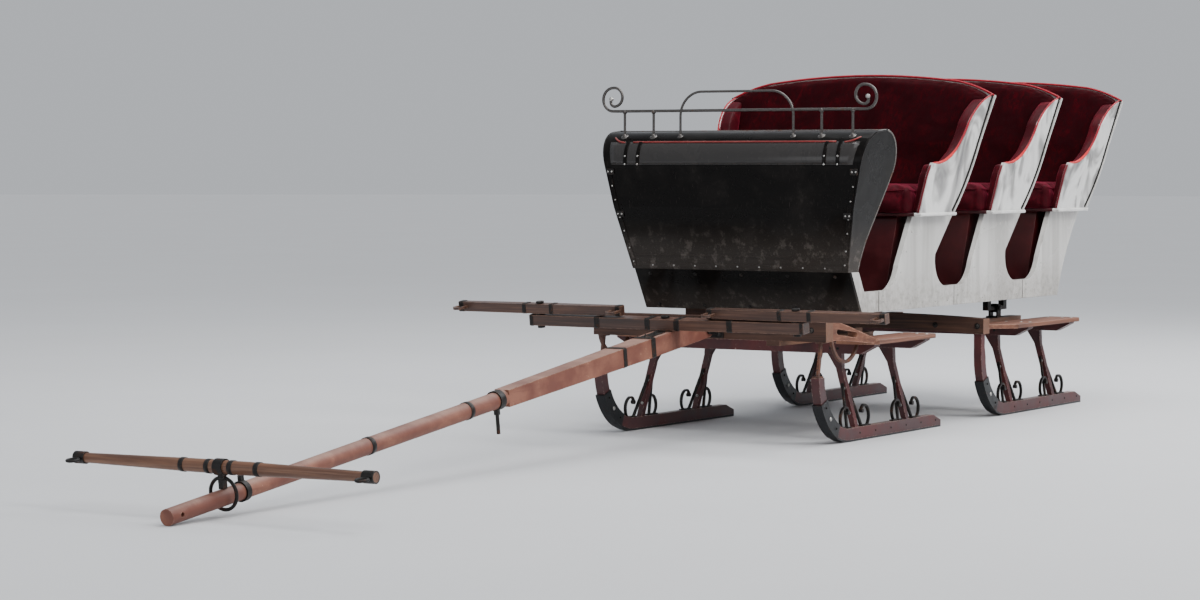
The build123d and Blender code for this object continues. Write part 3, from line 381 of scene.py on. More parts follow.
def wood(name, dark, mid, light, along, rough, edge=None, edge_r=0.006, ends=None, gloss=0.0):
    """Long grain along an axis, worn pale at the edges, with end grain where the axis leaves the timber."""
    f = Finish(name, Specular_IOR_Level=0.4, Coat_Weight=gloss, Coat_Roughness=0.25)
    bands = f.noise(1.8, 5, 0.62, 0.4, f.space(stretch(along, 1.0, 14)))
    lines = f.noise(1.2, 5, 0.68, space=f.space(stretch(along, 1.6, 95)))
    cloud = f.noise(4, 4, 0.6)
    f.colour = f.mix(f.span(bands, 0.3, 0.72), dark, mid)
    f.layer(f.times(f.span(lines, 0.45, 0.75), 0.6), light)
    f.layer(f.span(cloud, 0.3, 0.8, 0.0, 0.35), dark)
    splits = f.span(lines, 0.36, 0.27)
    f.layer(f.times(splits, 0.5), rgb(dark, 0.25))
    if edge is not None:
        f.layer(f.chips(edge_r, 30, 0.34, 0.6, 5), edge)
    if ends is not None:
        facing = f.span(f.math("ABSOLUTE", f.axis(along, "Normal")), 0.8, 0.95)
        rings = f.noise(2.4, 3, 0.6, 1.5, f.space((30, 30, 30)))
        f.layer(f.times(facing, f.span(rings, 0.3, 0.8, 0.95, 0.55)), ends)
    grain = f.bump(lines, 0.3, 0.0012, f.soft_edges(0.002))
    f.done(f.span(bands, 0.3, 0.8, *rough), f.bump(splits, 0.35, -0.00108, grain))


def painted_wood(name, paint, faded, under, along, bare, rough, coat):
    """Old paint that has faded in patches and rubbed through to the timber at its edges."""
    f = Finish(name, Specular_IOR_Level=0.45, Coat_Weight=coat, Coat_Roughness=0.25)
    grain = f.noise(1.6, 5, 0.66, space=f.space(stretch(along, 2, 40)))
    cloud = f.noise(7, 5, 0.62, 0.4)
    fine = f.noise(80, 5, 0.7)
    f.colour = f.mix(f.span(cloud, 0.35, 0.75), paint, faded)
    f.layer(f.times(f.span(grain, 0.55, 0.8), 0.4), rgb(paint, 0.4))
    rub = f.times(f.rim(0.006), f.span(fine, 0.44, 0.62))
    flakes = f.times(f.span(fine, 0.74 - 0.1 * bare, 0.8 - 0.1 * bare), f.span(cloud, 0.5, 0.7))
    bald = f.math("MAXIMUM", rub, flakes)
    f.layer(bald, under)
    dust = f.times(f.span(f.axis("Z", "Normal"), 0.4, 0.95), f.span(cloud, 0.3, 0.7, 0.1, 0.4))
    f.layer(dust, (168, 150, 138))
    finish = f.plus(f.span(cloud, 0.3, 0.8, *rough), f.times(bald, 0.2))
    f.done(finish, f.bump(bald, 0.3, -0.0006, f.bump(grain, 0.25, 0.0015, f.soft_edges(0.0025))))


def velvet(name, deep, mid, glow, sheen, sheen_tint, rough=0.85, shine=0.12, film=0.0):
    """Cut plush whose nap lies this way and that, with a soft sheen where it is seen flat on."""
    f = Finish(name, Sheen_Weight=sheen, Sheen_Roughness=0.34, Sheen_Tint=sheen_tint,
               Specular_IOR_Level=shine, Coat_Weight=film, Coat_Roughness=0.3)
    crush = f.noise(9, 4, 0.55, 0.8)
    brushed = f.noise(2.2, 4, 0.6, 0.6, f.space((6, 30, 18), (0.3, 0.2, 0.5)))
    nap = f.noise(900, 3, 0.7)
    f.colour = f.mix(f.times(f.span(crush, 0.35, 0.72), f.span(brushed, 0.3, 0.75)), deep, mid)
    f.layer(f.times(f.span(nap, 0.55, 0.8), 0.5), glow)
    lint = f.span(f.node("TexVoronoi", Vector=f.wide, Scale=120).outputs["Distance"], 0.05, 0.02)
    f.layer(f.times(lint, f.span(crush, 0.55, 0.62, 0.0, 0.5)), (178, 140, 140))
    finish = f.span(brushed, 0.3, 0.8, rough - 0.12, rough + 0.08)
    f.done(finish, f.bump(nap, 0.4, 0.0005, f.bump(brushed, 0.25, 0.0015)))


def twill(name, base, light, painted_highlight=None, sheen=0.35):
    """Ribbed braid, with a painted highlight of brighter red at the height of the arm."""
    f = Finish(name, Sheen_Weight=sheen, Sheen_Roughness=0.4, Specular_IOR_Level=0.3)
    rib = f.node("TexWave", Vector=f.space(turn=(0.4, 0.7, 0.3)), Scale=143.3121, Distortion=1.5,
                 Detail=1.0).outputs["Fac"]
    cloud = f.noise(18, 4, 0.6)
    f.colour = f.mix(f.span(rib, 0.3, 0.8), base, light)
    if painted_highlight is not None:
        # Painted highlight: a band of brighter red where light falls on the low part of the arm.
        arm = f.times(f.span(f.axis("Z"), 1.21, 1.15), f.span(f.axis("Z"), 1.08, 1.12))
        f.layer(arm, painted_highlight)
    f.layer(f.span(cloud, 0.4, 0.8, 0.0, 0.3), rgb(base, 0.5))
    f.done(f.span(cloud, 0.3, 0.8, 0.5, 0.7), f.bump(rib, 0.35, 0.0006))


panel_paint()
end_paint()
board_paint()
black_enamel("panel_black", 0.5, 0.64, 0.35)
black_enamel("dash_black", 0.70, 0.90, 0.30)
black_enamel("lip_black", 0.2, 0.3, 0.1, (46, 44, 43), 0.6, (0.2, 0.34))
black_enamel("edge_leather", 0.4, 0.5, 0.1)
forged_iron("rail_iron", (74, 71, 69), (104, 78, 60), 0.04, 0.8, 0.3)
forged_iron("iron_black", (24, 22, 21), (84, 52, 36), 0.12)
forged_iron("brace_brown", (66, 42, 34), (122, 78, 58), 0.2, 0.2, 0.5)
forged_iron("shoe_steel", (24, 25, 27), (70, 48, 38), 0.06, 0.6, 0.3)
worn_steel("bolt_zinc", (196, 194, 190), 0.12)
worn_steel("bead_steel", (138, 134, 130), 0.2)
wood("floor_wood", (40, 31, 26), (62, 49, 41), (92, 78, 66), "X", (0.6, 0.85), (104, 90, 78), 0.004)
wood("step_wood", (86, 54, 42), (126, 82, 64), (164, 116, 92), "X", (0.55, 0.75),
     (206, 160, 136), 0.007, (150, 104, 82))
wood("beam_brown", (44, 27, 21), (80, 52, 40), (108, 76, 58), "Y", (0.5, 0.72),
     (132, 96, 76), 0.005, (116, 82, 64))
wood("gear_dark", (46, 29, 23), (80, 52, 40), (120, 86, 68), "Y", (0.38, 0.58),
     (160, 122, 100), gloss=0.2)
wood("yoke_brown", (74, 46, 33), (118, 80, 58), (158, 116, 88), "Y", (0.42, 0.6), gloss=0.2)
painted_wood("box_maroon", (52, 7, 11), (74, 14, 18), (104, 60, 50), "Z", 0.3, (0.34, 0.5), 0.3)
painted_wood("runner_maroon", (54, 13, 17), (82, 28, 28), (176, 150, 136), "X", 0.9, (0.4, 0.6), 0.15)
painted_wood("pole_red", (104, 58, 46), (140, 92, 74), (184, 154, 130), "X", 1.2, (0.55, 0.75), 0.0)
painted_wood("stripe_red", (128, 18, 18), (146, 42, 36), (54, 34, 30), "Y", 0.5, (0.3, 0.45), 0.3)
velvet("velvet_maroon", (50, 3, 11), (86, 7, 24), (126, 20, 44), 1.0, (232, 74, 112))
# The backs' velvet is a darker copy of the cushions' velvet: painted shade.
velvet("velvet_dark", (32, 1, 5), (60, 3, 11), (84, 8, 20), 0.12, (214, 34, 56), 0.9, 0.05)
velvet("velvet_arm", (50, 2, 10), (92, 5, 22), (132, 18, 40), 0.34, (236, 70, 100), 0.7, 0.08, 0.07)
# The third colour of the red piping is its painted highlight.
twill("piping_red", (132, 8, 26), (178, 26, 46), (196, 16, 22), 0.12)
twill("piping_maroon", (84, 8, 20), (118, 18, 34))

NODE_FINISH = {
    "panel_white": "side_panel_left side_panel_right tailboard seat_shells",
    "end_gloss": "seat_ends",
    "board_paint": "seat_boards",
    "panel_black": "front_panel",
    "dash_black": "dash",
    "rail_iron": "dash_rail",
    "floor_wood": "floor_boards",
    "box_maroon": "seat_boxes",
    "velvet_maroon": "cushion_1 cushion_2 cushion_3",
    "velvet_dark": "back_pad_1 back_pad_2 back_pad_3 arm_pads",
    "beam_brown": "body_bolster front_bearers front_beam rear_bearers rear_end_beam",
    "runner_maroon": "front_runners rear_runners front_bench_frames rear_bench_frames",
    "shoe_steel": "front_runner_shoes rear_runner_shoes",
    "step_wood": "front_step_boards rear_step_boards",
    "brace_brown": "front_end_irons",
    "iron_black": "turntable_upper_ring turntable_lower_ring king_pin rear_rocker_brackets rear_rocker_lugs "
                  "front_runner_irons rear_runner_irons pole_lugs pole_irons evener_pins neck_yoke_irons",
    "gear_dark": "evener singletree_left singletree_right",
    "pole_red": "pole",
    "yoke_brown": "neck_yoke_bar",
}
for finish, names in NODE_FINISH.items():
    for name in names.split():
        nodes[name].data.materials.clear()
        nodes[name].data.materials.append(M[finish])


# Mesh tools
@contextmanager
def edited(mesh):
    """A bmesh of the mesh, written back at the end."""
    bm = bmesh.new()
    bm.from_mesh(mesh)
    yield bm
    bm.to_mesh(mesh)
    bm.free()
    mesh.update()


def placed(name, data):
    obj = bpy.data.objects.new(name, data)
    scene.collection.objects.link(obj)
    return obj


def solid_mesh(name, verts, faces):
    """A mesh whose faces all look outwards."""
    mesh = bpy.data.meshes.new(name)
    mesh.from_pydata([tuple(v) for v in verts], [], faces)
    with edited(mesh) as bm:
        bmesh.ops.recalc_face_normals(bm, faces=bm.faces)
    return mesh


def set_points(mesh, points):
    mesh.vertices.foreach_set("co", [c for p in points for c in p])
    mesh.update()


def skin(rings, size, closed=False):
    """Quads between rings of size points, with the two ends capped unless the rings close."""
    faces = []
    for i in range(rings if closed else rings - 1):
        j = (i + 1) % rings
        for k in range(size):
            m = (k + 1) % size
            faces.append([i * size + k, i * size + m, j * size + m, j * size + k])
    if not closed:
        faces.append(list(range(size))[::-1])
        faces.append([(rings - 1) * size + k for k in range(size)])
    return faces


def circle(at, side, other, r, sides, turn=0.0):
    """A ring of points; r in mm."""
    angles = [turn + TURN * k / sides for k in range(sides)]
    return [at + (side * math.cos(a) + other * math.sin(a)) * (r / 1000) for a in angles]


class Trim:
    """Small fittings gathered into one object."""

    def __init__(self):
        self.verts, self.faces, self.mats, self.smooth = [], [], [], []

    def add(self, verts, faces, mat=0, smooth=True):
        base = len(self.verts)
        self.verts += verts
        self.faces += [[base + i for i in f] for f in faces]
        self.mats += [mat] * len(faces)
        self.smooth += [smooth] * len(faces)
        return self

    def lathe(self, at, axis, profile, sides=14, mat=0, smooth=True, turn=0.0):
        """A turned form; profile is (radius, height) in mm along axis from at."""
        axis = Vector(axis).normalized()
        side = axis.orthogonal().normalized()
        verts, faces, rings = [], [], []
        for r, h in profile:
            middle = Vector(at) + axis * (h / 1000)
            ring = circle(middle, side, axis.cross(side), r, sides, turn) if r > 0 else [middle]
            rings.append(range(len(verts), len(verts) + len(ring)))
            verts += ring
        for lo, hi in zip(rings, rings[1:]):
            for k in range(sides):
                j = (k + 1) % sides
                quad = (lo[k % len(lo)], hi[k % len(hi)], hi[j % len(hi)], lo[j % len(lo)])
                faces.append(list(dict.fromkeys(quad))[::-1])
        faces += [list(ring)[::way] for ring, way in ((rings[0], -1), (rings[-1], 1)) if len(ring) > 1]
        self.add(verts, faces, mat, smooth)

    def dome(self, at, axis, r, h, mat=0):
        """A round head."""
        profile = [(r, -0.5), (r, 0.25 * h), (0.86 * r, 0.62 * h), (0.52 * r, 0.92 * h), (0.0, h)]
        self.lathe(at, axis, profile, mat=mat)

    def bolt(self, at, axis, r, h, mat=0):
        """A washer, a six-sided nut and the bolt's end."""
        washer = [(1.5 * r, -0.5), (1.5 * r, 0.2 * h), (1.38 * r, 0.26 * h), (0.5 * r, 0.26 * h)]
        self.lathe(at, axis, washer, 18, mat)
        self.lathe(at, axis, [(r, 0.22 * h), (r, 0.86 * h), (0.84 * r, h), (0.0, h)], 6, mat, False, 0.3)
        end = [(0.5 * r, 0.9 * h), (0.5 * r, 1.35 * h), (0.42 * r, 1.42 * h), (0.0, 1.42 * h)]
        self.lathe(at, axis, end, 10, mat)

    def collar(self, s, y, z, axis, r, wide, out):
        """A round iron band on a timber of radius r in the pole's drawing."""
        low, high = r - 0.5, r + out
        self.lathe(G(s, y, z), axis, [(low, 0.0), (high, 0.6), (high, wide - 0.6), (low, wide)], 28)

    def tube(self, pts, r, mat=0, sides=9, grow=None):
        """A round tube along points in metres; r in mm; grow scales r at each point."""
        pts = [Vector(p) for p in pts]
        along = [(b - a).normalized() for a, b in zip(pts[:1] + pts, pts[1:] + pts[-1:])]
        side = along[0].orthogonal().normalized()
        verts = []
        for i, (p, t) in enumerate(zip(pts, along)):
            side = (side - t * side.dot(t)).normalized()
            verts += circle(p, side, t.cross(side), r * (grow[i] if grow else 1.0), sides)
        return self.add(verts, skin(len(pts), sides), mat)

    def ribbon(self, pts, sides, ups, half, thick, mat=0, ease=1.0):
        """A flat strip: half width along sides and thick along ups, both in mm, with eased edges."""
        low, inner = thick - ease, half - ease
        section = ((-half, 0.0), (-half, low), (-inner, thick), (inner, thick), (half, low), (half, 0.0))
        verts = [Vector(p) + (Vector(s) * a + Vector(u) * b) / 1000
                 for p, s, u in zip(pts, sides, ups) for a, b in section]
        return self.add(verts, skin(len(pts), len(section)), mat, False)

    def plate(self, at, u, v, w, a, b, t, mat=0, ease=1.2):
        """A small plate: half sizes a along u and b along v, t thick along w, in mm, with eased edges."""
        u, v, w = (Vector(d).normalized() for d in (u, v, w))
        e = min(ease, a * 0.5, b * 0.5, t * 0.6)
        verts = []
        for inset, h in ((0.0, -0.5), (0.0, t - e), (e, t)):
            for sa, sb in ((-1, -1), (1, -1), (1, 1), (-1, 1)):
                x, y = sa * (a - inset), sb * (b - inset)
                cuts = [(x, y - sb * e), (x - sa * e, y)]
                verts += [Vector(at) + (u * cx + v * cy + w * h) / 1000
                          for cx, cy in (cuts if sa * sb > 0 else cuts[::-1])]
        self.add(verts, skin(3, 8), mat, False)

    def band(self, at, along, across, up, w, h, wide, thick, ease=0.8, cut=5):
        """A flat iron band round a timber of width w and height h, centred at a point."""
        a, c, end = w / 2, h / 2, wide / 2
        ring = [(-a + cut, -c), (a - cut, -c), (a, -c + cut), (a, c - cut),
                (a - cut, c), (-a + cut, c), (-a, c - cut), (-a, -c + cut)]
        verts = []
        for off, k in ((-end, 0.0), (-end + ease, thick), (end - ease, thick), (end, 0.0)):
            for x, z in ring:
                out = along * off + across * (x + math.copysign(k, x)) + up * (z + math.copysign(k, z))
                verts.append(at + out / 1000)
        self.add(verts, skin(4, len(ring), closed=True), 0, False)

    def both(self):
        """Adds the same pieces on the other side of the middle."""
        base = len(self.verts)
        self.verts += other_side(self.verts)
        self.faces += [[base + i for i in reversed(f)] for f in self.faces]
        self.mats += self.mats
        self.smooth += self.smooth
        return self

    def make(self, name, finishes, slot=None, body="sleigh_body"):
        mesh = solid_mesh(name, self.verts, self.faces)
        for finish in finishes.split():
            mesh.materials.append(M[finish])
        mesh.polygons.foreach_set("material_index", self.mats)
        mesh.polygons.foreach_set("use_smooth", self.smooth)
        obj = placed(name, mesh)
        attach(obj, body)


# Upholstery: one cushion, one back and one arm pad are swollen for the first row, then copied
VOXEL = 0.0065
ARM_VOXEL = 0.0048
FLAT_LOW = P(0, 0, SEAT_LOW + 0.5).z
CUSHION_FRONT = 871
CUSHION_HALF = 506


def islands(mesh):
    """Separate closed bodies of a mesh, as points and faces, after joining equal points."""
    bm = bmesh.new()
    bm.from_mesh(mesh)
    bmesh.ops.remove_doubles(bm, verts=bm.verts, dist=0.00002)
    bm.faces.index_update()
    seen, out = set(), []
    for first in bm.verts:
        if first in seen:
            continue
        stack, found = [first], []
        seen.add(first)
        while stack:
            found.append(stack.pop())
            for e in found[-1].link_edges:
                b = e.other_vert(found[-1])
                if b not in seen:
                    seen.add(b)
                    stack.append(b)
        ids = {v: k for k, v in enumerate(found)}
        faces = sorted({f for v in found for f in v.link_faces}, key=lambda f: f.index)
        out.append(([v.co.copy() for v in found], [[ids[v] for v in f.verts] for f in faces]))
    bm.free()
    return out


def remeshed(name, verts, faces, voxel, rounds):
    """A closed form turned into an even quad skin and smoothed."""
    mesh = solid_mesh(name, verts, faces)
    obj = placed(name, mesh)
    given(obj.modifiers.new("skin", "REMESH"), mode="VOXEL", voxel_size=voxel)
    given(obj.modifiers.new("even", "SMOOTH"), factor=0.5, iterations=rounds)
    obj_now = obj.evaluated_get(bpy.context.evaluated_depsgraph_get())
    done = bpy.data.meshes.new_from_object(obj_now)
    obj.modifiers.clear()
    obj.data = done
    bpy.data.meshes.remove(mesh)
    return obj


def inflate(obj, held, pressure, frames, cap):
    """Swells the skin with air pressure; held picks the fixed points and no point moves further than cap."""
    mesh = obj.data
    start = [v.co.copy() for v in mesh.vertices]
    group = obj.vertex_groups.new(name="held")
    group.add([v.index for v in mesh.vertices if held(v.co, v.normal)], 1.0, "REPLACE")
    mod = obj.modifiers.new("Cloth", "CLOTH")
    given(mod.settings, quality=4, mass=0.35, tension_stiffness=12, compression_stiffness=12,
          shear_stiffness=6, bending_stiffness=1.2, use_pressure=True, uniform_pressure_force=pressure,
          vertex_group_mass="held")
    mod.settings.effector_weights.gravity = 0.0
    mod.collision_settings.use_collision = False
    given(mod.point_cache, frame_start=1, frame_end=frames + 1)
    for k in range(1, frames + 1):
        scene.frame_set(k)
    obj_now = obj.evaluated_get(bpy.context.evaluated_depsgraph_get())
    moves = [v.co - a for v, a in zip(obj_now.to_mesh().vertices, start)]
    obj_now.to_mesh_clear()
    obj.modifiers.clear()
    scene.frame_set(1)
    capped = [d * (cap * math.tanh(d.length / cap) / d.length) if d.length > 1e-9 else d for d in moves]
    set_points(mesh, [a + d for a, d in zip(start, capped)])
    obj.vertex_groups.clear()


def smooth_mesh(mesh, rounds, where=None):
    with edited(mesh) as bm:
        chosen = [v for v in bm.verts if where is None or where(v.co)]
        for _ in range(rounds):
            bmesh.ops.smooth_vert(bm, verts=chosen, factor=0.5, use_axis_x=True, use_axis_y=True,
                                  use_axis_z=True)


def on_surface(mesh, points, out_mm):
    """The nearest points of the skin, lifted off it a little."""
    bm = bmesh.new()
    bm.from_mesh(mesh)
    tree = BVHTree.FromBMesh(bm)
    hits = [tree.find_nearest(p) for p in points]
    bm.free()
    return [Vector(p) for p in eased([at + normal * (out_mm / 1000) for at, normal, _, _ in hits], 3)]


def groove(mesh, path, depth, width):
    """Draws the skin in along a seam."""
    tree = KDTree(len(path))
    for i, p in enumerate(path):
        tree.insert(p, i)
    tree.balance()
    deep = []
    for v in mesh.vertices:
        d = tree.find(v.co)[2] * 1000
        pull = depth * math.exp(-(d / width) ** 2) if d < 4 * width else 0.0
        deep.append(v.co - v.normal * (pull / 1000))
    set_points(mesh, deep)


def ripple(mesh, amount, size, seed):
    """Lifts and lowers the skin softly, with waves of about size mm."""
    place = Vector((seed, 3.1 * seed, 0.7))
    set_points(mesh, [v.co + v.normal * (amount * noise.noise(v.co * (1000 / size) + place) / 1000)
                      for v in mesh.vertices])


def cushion_form():
    """A boxed cushion for the first row, a little under size."""
    low, top = SEAT_LOW + 1.0, SEAT_LOW + 102
    mid_x, mid_z = 720, (low + top) / 2
    outline = [(598, low), (868, low), (CUSHION_FRONT, low + 10), (CUSHION_FRONT, top - 12),
               (864, top - 2), (850, top), (552, top), (545, top - 8)]
    cut = 16
    ends = [(CUSHION_HALF, cut), (CUSHION_HALF - 5, 5), (CUSHION_HALF - cut, 0.0)]
    rows = [(-y, inset) for y, inset in ends] + ends[::-1]
    verts = [P(x - inset if x > mid_x else x + inset * 0.3, y, z - inset * 0.35 if z > mid_z else z)
             for y, inset in rows for x, z in outline]
    return verts, skin(len(rows), len(outline))


def cushion_seam(mesh):
    """The seam along the top of the front and back along both sides."""
    front = [P(CUSHION_FRONT, y, SEAT_LOW + 101) for y in spread(-HALF + 12, HALF - 12, 60)]
    side = [P(x, -507, SEAT_LOW + 97) for x in spread(575, 862, 24)]
    return on_surface(mesh, side + front + other_side(side[::-1]), 0.6)


def boxed(v):
    """A crease beside each front corner, and no point far ahead of the board or under the seat."""
    p = v.co.copy()
    if v.normal.x > 0.35:
        y = abs(p.y) * 1000
        p.x += 0.002 * math.exp(-((y - 488) / 12) ** 2) - 0.0035 * math.exp(-((y - 468) / 5) ** 2)
    p.x = min(p.x, P(CUSHION_FRONT + 6, 0, 0).x)
    p.z = max(p.z, FLAT_LOW)
    return p


def bellied(v):
    """A broad swell in the middle of the back."""
    if v.normal.x <= 0.2:
        return v.co.copy()
    y, z = v.co.y * 1000, v.co.z * 1000
    swell = max(0.0, 1.0 - (y / 600) ** 4) * max(0.0, 1.0 - ((z - 1230) / 250) ** 2)
    return v.co + v.normal * (0.010 * swell)


cushion = remeshed("cushion_base", *cushion_form(), VOXEL, 3)
inflate(cushion, lambda co, n: n.z < -0.6 or co.z < FLAT_LOW + 0.004, 5, 16, 0.016)
set_points(cushion.data, [boxed(v) for v in cushion.data.vertices])
seam = cushion_seam(cushion.data)
groove(cushion.data, seam, 3.2, 7)
ripple(cushion.data, 2.2, 70, 2)
ripple(cushion.data, 0.8, 22, 5)

back = remeshed("back_base", *islands(nodes["back_pad_1"].data)[0], VOXEL * 1.06, 8)
REARWARD = Vector((-1.0, 0.0, -0.4)).normalized()
inflate(back, lambda co, n: n.dot(REARWARD) > 0.55 or co.z < FLAT_LOW + 0.006, 3.5, 14, 0.011)
set_points(back.data, [bellied(v) for v in back.data.vertices])
ripple(back.data, 2.6, 120, 11)
ripple(back.data, 0.9, 30, 4)

left_arms = [(verts, faces) for verts, faces in islands(nodes["arm_pads"].data)
             if sum(v.y for v in verts) > 0 and sum(v.x for v in verts) / len(verts) > P(380, 0, 0).x]
arm = remeshed("arm_base", *left_arms[0], ARM_VOXEL, 6)
inflate(arm, lambda co, n: n.y > 0.5 or co.z < FLAT_LOW + 0.004, 3, 12, 0.008)
smooth_mesh(arm.data, 3)
ARM_CORNER = P(800, 0, SEAT_LOW + 204)
smooth_mesh(arm.data, 22, lambda co: math.hypot(co.x - ARM_CORNER.x, co.z - ARM_CORNER.z) < 0.042)
ripple(arm.data, 0.7, 60, 8)


def soft_copy(base, name, row, finish, node, mirror=False):
    mesh = base.data.copy()
    mesh.name = name
    shift = Vector((PITCH * row / 1000, 0, 0))
    points = [v.co - shift for v in mesh.vertices]
    set_points(mesh, other_side(points) if mirror else points)
    if mirror:
        mesh.flip_normals()
    mesh.materials.clear()
    mesh.materials.append(M[finish])
    mesh.polygons.foreach_set("use_smooth", [True] * len(mesh.polygons))
    obj = placed(name, mesh)
    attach(obj, "sleigh_body")
    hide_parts(node)


for row in range(ROWS):
    tag = str(row + 1)
    soft_copy(cushion, "seat_cushion_" + tag, row, "velvet_maroon", "cushion_" + tag)
    # The backs take the velvet with painted shade.
    soft_copy(back, "seat_back_" + tag, row, "velvet_dark", "back_pad_" + tag)
    soft_copy(arm, "arm_pad_left_" + tag, row, "velvet_arm", "arm_pads")
    soft_copy(arm, "arm_pad_right_" + tag, row, "velvet_arm", "arm_pads", True)
for base in (cushion, back, arm):
    bpy.data.objects.remove(base)

# Piping, welts and edge strips on the seats
arm_line = eased(line_points((857, SEAT_LOW), [
    (828, SEAT_LOW + 153), (806, SEAT_LOW + 207),
    (612, SEAT_LOW + 243, 500, BODY_Z + 777), (432, BODY_Z + 843, *SHOULDER)]), 5)
arm_norm = normals(arm_line)
rear_line = eased(line_points(BACK_FOOT, [(*BACK_MID, *BEND), SHOULDER]), 3)
rear_norm = normals(rear_line)
crown = line_points((636, SHOULDER[1]), [
    (530, BODY_Z + 933.99, 460, BODY_Z + 952.03), (0.0, BODY_Z + 983, -460, BODY_Z + 952.03),
    (-530, BODY_Z + 933.99, -636, SHOULDER[1])], 20)
crown = [(y * 0.9965, z + 1.0) for y, z in crown]
# The piping is fullest low on the arm and changes colour at the top of the front edge
grow = [0.85 + 0.5 * math.exp(-((z - SEAT_LOW - 222) / 34) ** 2) for x, z in arm_line]
turn_at = min(range(len(arm_line)), key=lambda i: abs(arm_line[i][1] - SEAT_LOW - 196))
up_front = [0.92 + (grow[turn_at] - 0.92) * (k / turn_at) ** 3 for k in range(turn_at + 1)]
UP_FLARE = Vector((0.0, 1.0, FLARE)).normalized()
OUT_FLARE = Vector((0.0, 1.0, -FLARE)).normalized()


def beside(line, norm, d, out, inset):
    """Points of a seat end's outline moved out by a distance, inset from the end's outer face."""
    return [P(x + d + n.x * out, end_y(z) - inset, z + n.z * out) for (x, z), n in zip(line, norm)]


for row in range(ROWS):
    d = -PITCH * row
    tag = str(row + 1)
    piping = Trim()
    pts = beside(arm_line, arm_norm, d, -1.8, 8)
    piping.tube(pts[:turn_at + 1], 4.8, 1, 10, up_front)
    piping.tube(pts[turn_at:], 4.8, 0, 10, grow[turn_at:])
    lap = beside(arm_line, arm_norm, d, 0.2, 11.5)
    piping.ribbon(lap, [UP_FLARE] * len(lap), arm_norm, 6, 1.6, 1, 0.5)
    piping.both()
    piping.tube([P(back_x(z) + d + 8, y, z) for y, z in crown], 5.2, 0, 10)
    piping.make("seat_piping_" + tag, "piping_red piping_maroon")
    welt = Trim().tube([p + Vector((d / 1000, 0, 0)) for p in seam], 2.8, 0, 8)
    welt.make("cushion_welt_" + tag, "velvet_maroon")
    pts = beside(rear_line, rear_norm, d, -8, 0.4)
    edge = Trim().ribbon(pts, rear_norm, [OUT_FLARE] * len(pts), 6.5, 3)
    edge.both().make("seat_edge_strip_" + tag, "edge_leather")

# Dash trim
wing_line = eased(line_points((1322, DASH_LOW + 2), [
    (1322, DASH_LOW + 41), (1304, DASH_LOW + 129), (1212, DASH_TOP - 237),
    (1179, DASH_TOP - 157), (1212, DASH_TOP - 45, DASH_CREST, DASH_TOP)]), 3)
front_line = eased(line_points((1407, DASH_LOW + 2), [
    (1470, DASH_LOW + 256), (1482, DASH_TOP - 153), (1462, DASH_TOP - 57, 1385, DASH_TOP - 7),
    (DASH_CREST, DASH_TOP)]), 2)
front_out = [n if n.x > 0 else -n for n in normals(front_line)]
STRIPE_Z = DASH_TOP - 46
LIP_LOW = DASH_TOP - 138
LIP_LIFT = 0.0026

left = [P(x, dash_y(z) - 2.2, z) for x, z in wing_line]
reach = dash_y(DASH_TOP) - 2.2
crest = [P(DASH_CREST, y, DASH_TOP - 2) for y in spread(reach, -reach, 40)[1:-1]]
bead = Trim().tube(left + crest + other_side(left[::-1]), 4.2, 0, 10)
bead.make("dash_edge_bead", "bead_steel")
fold = Trim().tube([P(x - 2, dash_y(z) - 2.5, z) for x, z in front_line], 4)
fold.both().make("dash_fold_bead", "dash_black", "dash_black")


def dash_front(z, off=0.0):
    """The place on the dash's front outline at a height, pushed out by off mm, and the outward direction."""
    near = [i for i, (x, _) in enumerate(front_line) if x > 1390]
    best = min(near, key=lambda i: abs(front_line[i][1] - z))
    x, zz = front_line[best]
    o = front_out[best]
    return x + o.x * off, zz + o.z * off, o


def front_run(z0, z1):
    """The part of the dash's front outline between two heights, with its outward directions."""
    run = [(x, z, o) for (x, z), o in zip(front_line, front_out) if z0 <= z <= z1 and x > 1380]
    return run, [o for x, z, o in run]


# The lip is a bent sheet on the hood: its front, its back and a rim that joins them
run, outs = front_run(LIP_LOW, STRIPE_Z)
wide, last = 37, len(run) - 1
sheet = [P(x, y, z) + o * LIP_LIFT for x, z, o in run
         for y in spread(dash_y(z) - 34, 34 - dash_y(z), wide - 1)]
grid = [[i * wide + k, i * wide + k + 1, (i + 1) * wide + k + 1, (i + 1) * wide + k]
        for i in range(last) for k in range(wide - 1)]
rear = len(sheet)
border = list(range(wide - 1)) + [i * wide + wide - 1 for i in range(last)]
border += [last * wide + k for k in range(wide - 1, 0, -1)] + [i * wide for i in range(last, 0, -1)]
rims = [[a, b, rear + b, rear + a] for a, b in zip(border, border[1:] + border[:1])]
lip = Trim()
lip.add(sheet + [v - outs[i // wide] * 0.0030 for i, v in enumerate(sheet)],
        grid + [[rear + i for i in reversed(f)] for f in grid] + rims)
lip.tube([v - outs[0] * 0.0006 for v in sheet[:wide]], 2.2, 0, 8)
lip.make("dash_lip", "lip_black", "dash_black")

stripe = Trim()
x, z, o = dash_front(STRIPE_Z)
stripe.tube([P(x, y, z) + o * 0.0022 for y in spread(-470, 470, 44)], 3.6, 0, 8)
for side in (-1, 1):
    path = []
    for t in spread(0.0, 1.0, 13):
        z = DASH_TOP - 50 + 20 * t ** 2
        x, _, o = dash_front(z)
        path.append(P(x, side * (508 + 62 * t), z) + o * 0.0024)
    stripe.tube(eased(path, 12), 3.6, 0, 8)
stripe.make("dash_stripe", "stripe_red")

